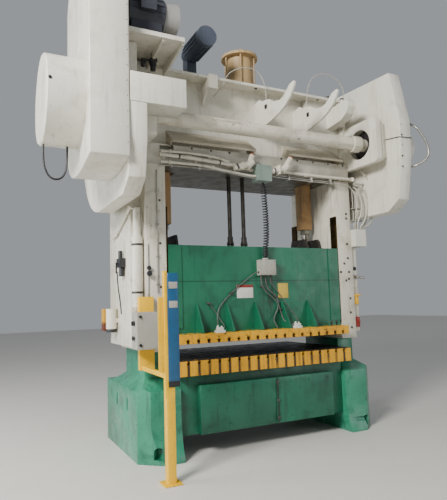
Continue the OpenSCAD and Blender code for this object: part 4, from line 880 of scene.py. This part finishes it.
# Air and oil lines clipped to the ram's front, from the cable box down to the plate's valves
RAM_LINE_ROUTES = [
    ([[-20, -548, 1899], [-22, -548, 1840], [0, -540, 1770], [70, -530, 1690], [150, -526, 1630],
      [215, -526, 1560], [250, -528, 1460], [262, -560, 1372], [300, -620, 1325], [342, -662, 1309]], 7),
    ([[40, -548, 1899], [42, -546, 1830], [80, -534, 1740], [170, -524, 1665], [215, -522, 1600],
      [205, -522, 1500], [160, -524, 1420], [128, -560, 1360], [126, -600, 1320], [126, -640, 1286]], 7),
    ([[110, -548, 1899], [110, -544, 1850], [130, -528, 1800], [190, -518, 1740], [300, -516, 1600],
      [395, -520, 1480], [446, -545, 1400], [440, -600, 1345], [412, -640, 1316]], 6),
    ([[-40, -548, 1935], [-90, -540, 1930], [-190, -518, 1860], [-400, -514, 1700], [-545, -516, 1560],
      [-590, -530, 1450], [-612, -575, 1370], [-628, -630, 1325], [-633, -660, 1310]], 6),
    ([[-700, -514, 1600], [-660, -516, 1560], [-600, -520, 1480], [-560, -545, 1400], [-545, -600, 1340],
      [-575, -650, 1312]], 5),
]


@piece(HOSE, "ram", "black_rubber", 50)
def ram_lines(bm):
    """The air and oil lines on the ram's front."""
    for route, radius in RAM_LINE_ROUTES:
        add_tube(bm, smooth_route(mm(route), 4), radius / 1000, 10)


@piece(BOLT, "ram", "steel")
def ram_line_clips(bm):
    """Clips that hold the ram's lines."""
    for x, z in ((0.004, 1.770), (0.240, 1.500), (0.190, 1.650), (-0.400, 1.700), (-0.690, 1.592)):
        add_box(bm, (x - 0.022, -0.538, z - 0.008), (x + 0.022, -0.499, z + 0.008), 0.003)


@piece(WHITEPLASTIC, "ram", "cream_paint")
def plate_valves(bm):
    """Small white valves that stand on the slotted plate."""
    for x in (-0.633, 0.377):
        add_box(bm, (x - 0.055, -0.700, PLATE_TOP - SUNK), (x + 0.055, -0.640, 1.300), 0.005)
        add_box(bm, (x - 0.038, -0.694, 1.298), (x + 0.038, -0.646, 1.330), 0.006)
        add_bar(bm, (x - 0.024, -0.670, 1.328), (x - 0.024, -0.670, 1.350), 0.012, 20)
        add_bar(bm, (x + 0.020, -0.670, 1.328), (x + 0.020, -0.670, 1.344), 0.010, 20)


@piece(BOLT, "ram", "steel")
def cable_box_glands(bm):
    """Gland nuts and lid screws of the cable box on the ram."""
    for x in (-0.020, 0.040, 0.110):
        add_bar(bm, (x, -0.548, 1.901), (x, -0.548, 1.886), 0.013, 6)
    for x, z in ((-0.030, 1.918), (0.150, 1.918), (-0.030, 2.062), (0.150, 2.062)):
        add_bolt(bm, (x, -0.590, z), FORWARD, 0.006, 0.005, False)
    add_bar(bm, (-0.045, -0.548, 1.935), (-0.058, -0.545, 1.935), 0.012, 6)


@piece(GRAY, "ram", "gray_paint")
def cable_box_lid(bm):
    """The cable box's raised lid."""
    add_box(bm, (-0.038, -0.594, 1.908), (0.158, -0.589, 2.072), 0.004)


# Bed details


@piece(GREEN_BED, "frame", "green_paint")
def bed_bolts(bm):
    """Painted bolts in two rows on the bed's front panel."""
    for x in (-0.78, -0.52, -0.26, 0.26, 0.52, 0.78):
        for z in (0.30, 0.68):
            add_bolt(bm, (x, -0.65, z), FORWARD, 0.010, 0.008)


@piece(PLASTIC, "frame", "black_rubber", 50)
def bed_drain_tube(bm):
    """Black drain tube down the bed's front."""
    drain = mm([[78, -655, 727], [78, -657, 640], [80, -657, 500], [84, -657, 380], [83, -657, 300],
                [80, -655, 235]])
    add_tube(bm, smooth_route(drain, 5), 0.007, 12)


@piece(BOLT, "frame", "steel")
def drain_clips(bm):
    """The drain tube's three clips."""
    for z in (0.680, 0.480, 0.290):
        add_box(bm, (0.062, -0.666, z - 0.010), (0.100, -0.649, z + 0.010), 0.003)


# Uprights' outer sides


@piece(CREAM_LOW, "frame", "cream_paint")
def side_duct(bm):
    """Cover strip of the cable way down the front of the right side box."""
    add_box(bm, (1.4060, -0.470, 1.180), (1.490, -0.4496, 2.262), 0.004)


@piece(BLACK, "frame", "black_rubber")
def duct_grommet(bm):
    """Rubber grommet of a cable hole in the strip."""
    add_bar(bm, (1.452, -0.4695, 1.985), (1.452, -0.476, 1.985), 0.026, 28, 0.002)


@piece(TUBE, "frame", "steel", 50)
def duct_elbow(bm):
    """Bent conduit that leaves the strip through a nut."""
    elbow = mm([[1452, -469, 1880], [1452, -500, 1878], [1458, -520, 1872], [1490, -528, 1866],
                [1560, -528, 1864]])
    add_tube(bm, smooth_route(elbow, 5), 0.016, 14, (0.1, 0.2, 1))
    add_bar(bm, (1.452, -0.4695, 1.880), (1.452, -0.482, 1.880), 0.026, 28, 0.003)


@piece(GRAY, "frame", "gray_paint")
def curtain_plates(bm):
    """Two bare gray plates on the light curtain's front."""
    add_box(bm, (-1.431, -1.2625, 1.740), (-1.347, -1.2598, 1.802), 0.0012)
    add_box(bm, (-1.431, -1.2625, 1.564), (-1.347, -1.2598, 1.626), 0.0012)


@piece(POST, "frame", "yellow_paint")
def post_plate(bm):
    """Yellow plate between the post and the control box."""
    add_box(bm, (-1.530, -1.236, 0.990), (-1.4752, -1.228, 1.665), 0.002)


@piece(IRON, "frame", "iron")
def tank_bands(bm):
    """Two clamp bands of the side tank."""
    for z in (1.729, 2.240):
        add_bar(bm, (-1.470, -0.418, z - 0.012), (-1.470, -0.418, z + 0.012), 0.0625, 36, 0.002)


@piece(BLACK, "frame", "black_rubber", 50)
def side_wire(bm):
    """Dark wire down the left upright's outer side, from the valve to the box."""
    wire = mm([[-1526, 200, 1990], [-1528, 190, 1900], [-1528, 150, 1780], [-1528, 80, 1640],
               [-1526, 30, 1500]])
    add_tube(bm, smooth_route(wire, 5), 0.007, 10, (0.9, 0.2, 0.1))


@piece(IRON, "ram", "iron")
def plate_studs(bm):
    """Two studs with nuts at the right end of the slotted plate."""
    for x in (0.930, 1.010):
        add_bar(bm, (x, -0.600, PLATE_TOP - SUNK), (x, -0.600, 1.330), 0.008, 16)
        add_bar(bm, (x, -0.600, 1.300), (x, -0.600, 1.312), 0.016, 6)


@piece(POST, "frame", "yellow_paint")
def right_bracket(bm):
    """Yellow angle bracket on the right upright."""
    add_box(bm, (1.420, -0.500, 1.520), (1.470, -0.4695, 1.640), 0.004)
    add_box(bm, (1.410, -0.520, 1.630), (1.490, -0.4695, 1.650), 0.004)


@piece(RED, "frame", "brown_steel")
def right_stop_switch(bm):
    """Red stop switch on the right upright, with its button."""
    add_box(bm, (1.415, -0.510, 1.230), (1.465, -0.4695, 1.360), 0.006)
    add_bar(bm, (1.440, -0.510, 1.300), (1.440, -0.526, 1.300), 0.016, 24)


@piece(PLASTIC, "frame", "black_plastic")
def upright_knobs(bm):
    """Black knob and gauge on the left upright's front."""
    add_bar(bm, (-1.375, FRONT_Y, 1.925), (-1.375, -0.530, 1.925), 0.012, 20)
    add_bar(bm, (-1.375, -0.530, 1.925), (-1.375, -0.552, 1.925), 0.030, 28, 0.005)
    add_bar(bm, (-1.375, FRONT_Y, 1.985), (-1.375, -0.520, 1.985), 0.010, 20)
    add_bar(bm, (-1.375, -0.520, 1.985), (-1.375, -0.538, 1.985), 0.024, 28, 0.004)


@piece(TUBE, "frame", "steel", 50)
def upright_lines(bm):
    """Two tubes down the left upright's front, with their clips."""
    gauge_line = mm([[-1378, -508, 2240], [-1378, -508, 2100], [-1378, -508, 1850], [-1380, -508, 1750],
                     [-1384, -508, 1660], [-1387, -509, 1600], [-1388, -512, 1560]])
    add_tube(bm, smooth_route(gauge_line, 5), 0.006, 10)
    supply_line = mm([[-1268, -508, 3060], [-1268, -508, 2800], [-1270, -508, 2400], [-1270, -508, 2000],
                      [-1272, -508, 1720]])
    add_tube(bm, smooth_route(supply_line, 4), 0.008, 12)
    for z in (1.80, 2.10, 2.45, 2.80):
        add_box(bm, (-1.290, -0.520, z), (-1.250, -0.499, z + 0.016), 0.003)


# Floor, backdrop and light
def stage_mesh(name, verts, faces, mat):
    """A mesh of the stage, which isn't part of the press."""
    data = bpy.data.meshes.new(name)
    data.from_pydata(verts, [], faces)
    data.materials.append(mat)
    obj = bpy.data.objects.new(name, data)
    scene.collection.objects.link(obj)


# Matt pale concrete of a studio floor, almost even
FLOOR = painted("studio floor", "cfccc6", "d6d3cd", "c6c3bd", "bcb8b0", 0.3, 0.1, 0.05, (0.55, 0.75), 0.02)
FLOOR_Z = -0.001
reach = 30
corners = [(-reach, -reach, FLOOR_Z), (reach, -reach, FLOOR_Z), (reach, reach, FLOOR_Z),
           (-reach, reach, FLOOR_Z)]
stage_mesh("floor", corners, [(0, 1, 2, 3)], FLOOR)
world = bpy.data.worlds.new("world")
scene.world = world
world.use_nodes = True
sky = world.node_tree.nodes["Background"]
sky.inputs["Color"].default_value = (0.90, 0.95, 1.0, 1)
sky.inputs["Strength"].default_value = 0.36


def soft_box(name, at, target, size, power, colour):
    """A flat soft light of a size in metres and a power in watts, turned to its target."""
    data = bpy.data.lights.new(name, "AREA")
    data.shape = "RECTANGLE"
    data.size = size[0]
    data.size_y = size[1]
    data.energy = power
    data.color = colour
    obj = bpy.data.objects.new(name, data)
    obj.location = at
    obj.rotation_euler = (Vector(target) - Vector(at)).to_track_quat("-Z", "Y").to_euler()
    scene.collection.objects.link(obj)


soft_box("key", (-8.2, -5.6, 7.0), (0, 0, 2.6), (2.8, 2.4), 1750, (1.0, 0.98, 0.94))
soft_box("window", (-8.5, 1.0, 3.0), (0, 0, 2.2), (3.5, 3.5), 420, (0.92, 0.97, 1.0))
soft_box("fill", (6.5, -7.0, 3.0), (0, 0, 1.6), (4, 4), 120, (0.95, 0.98, 1.0))
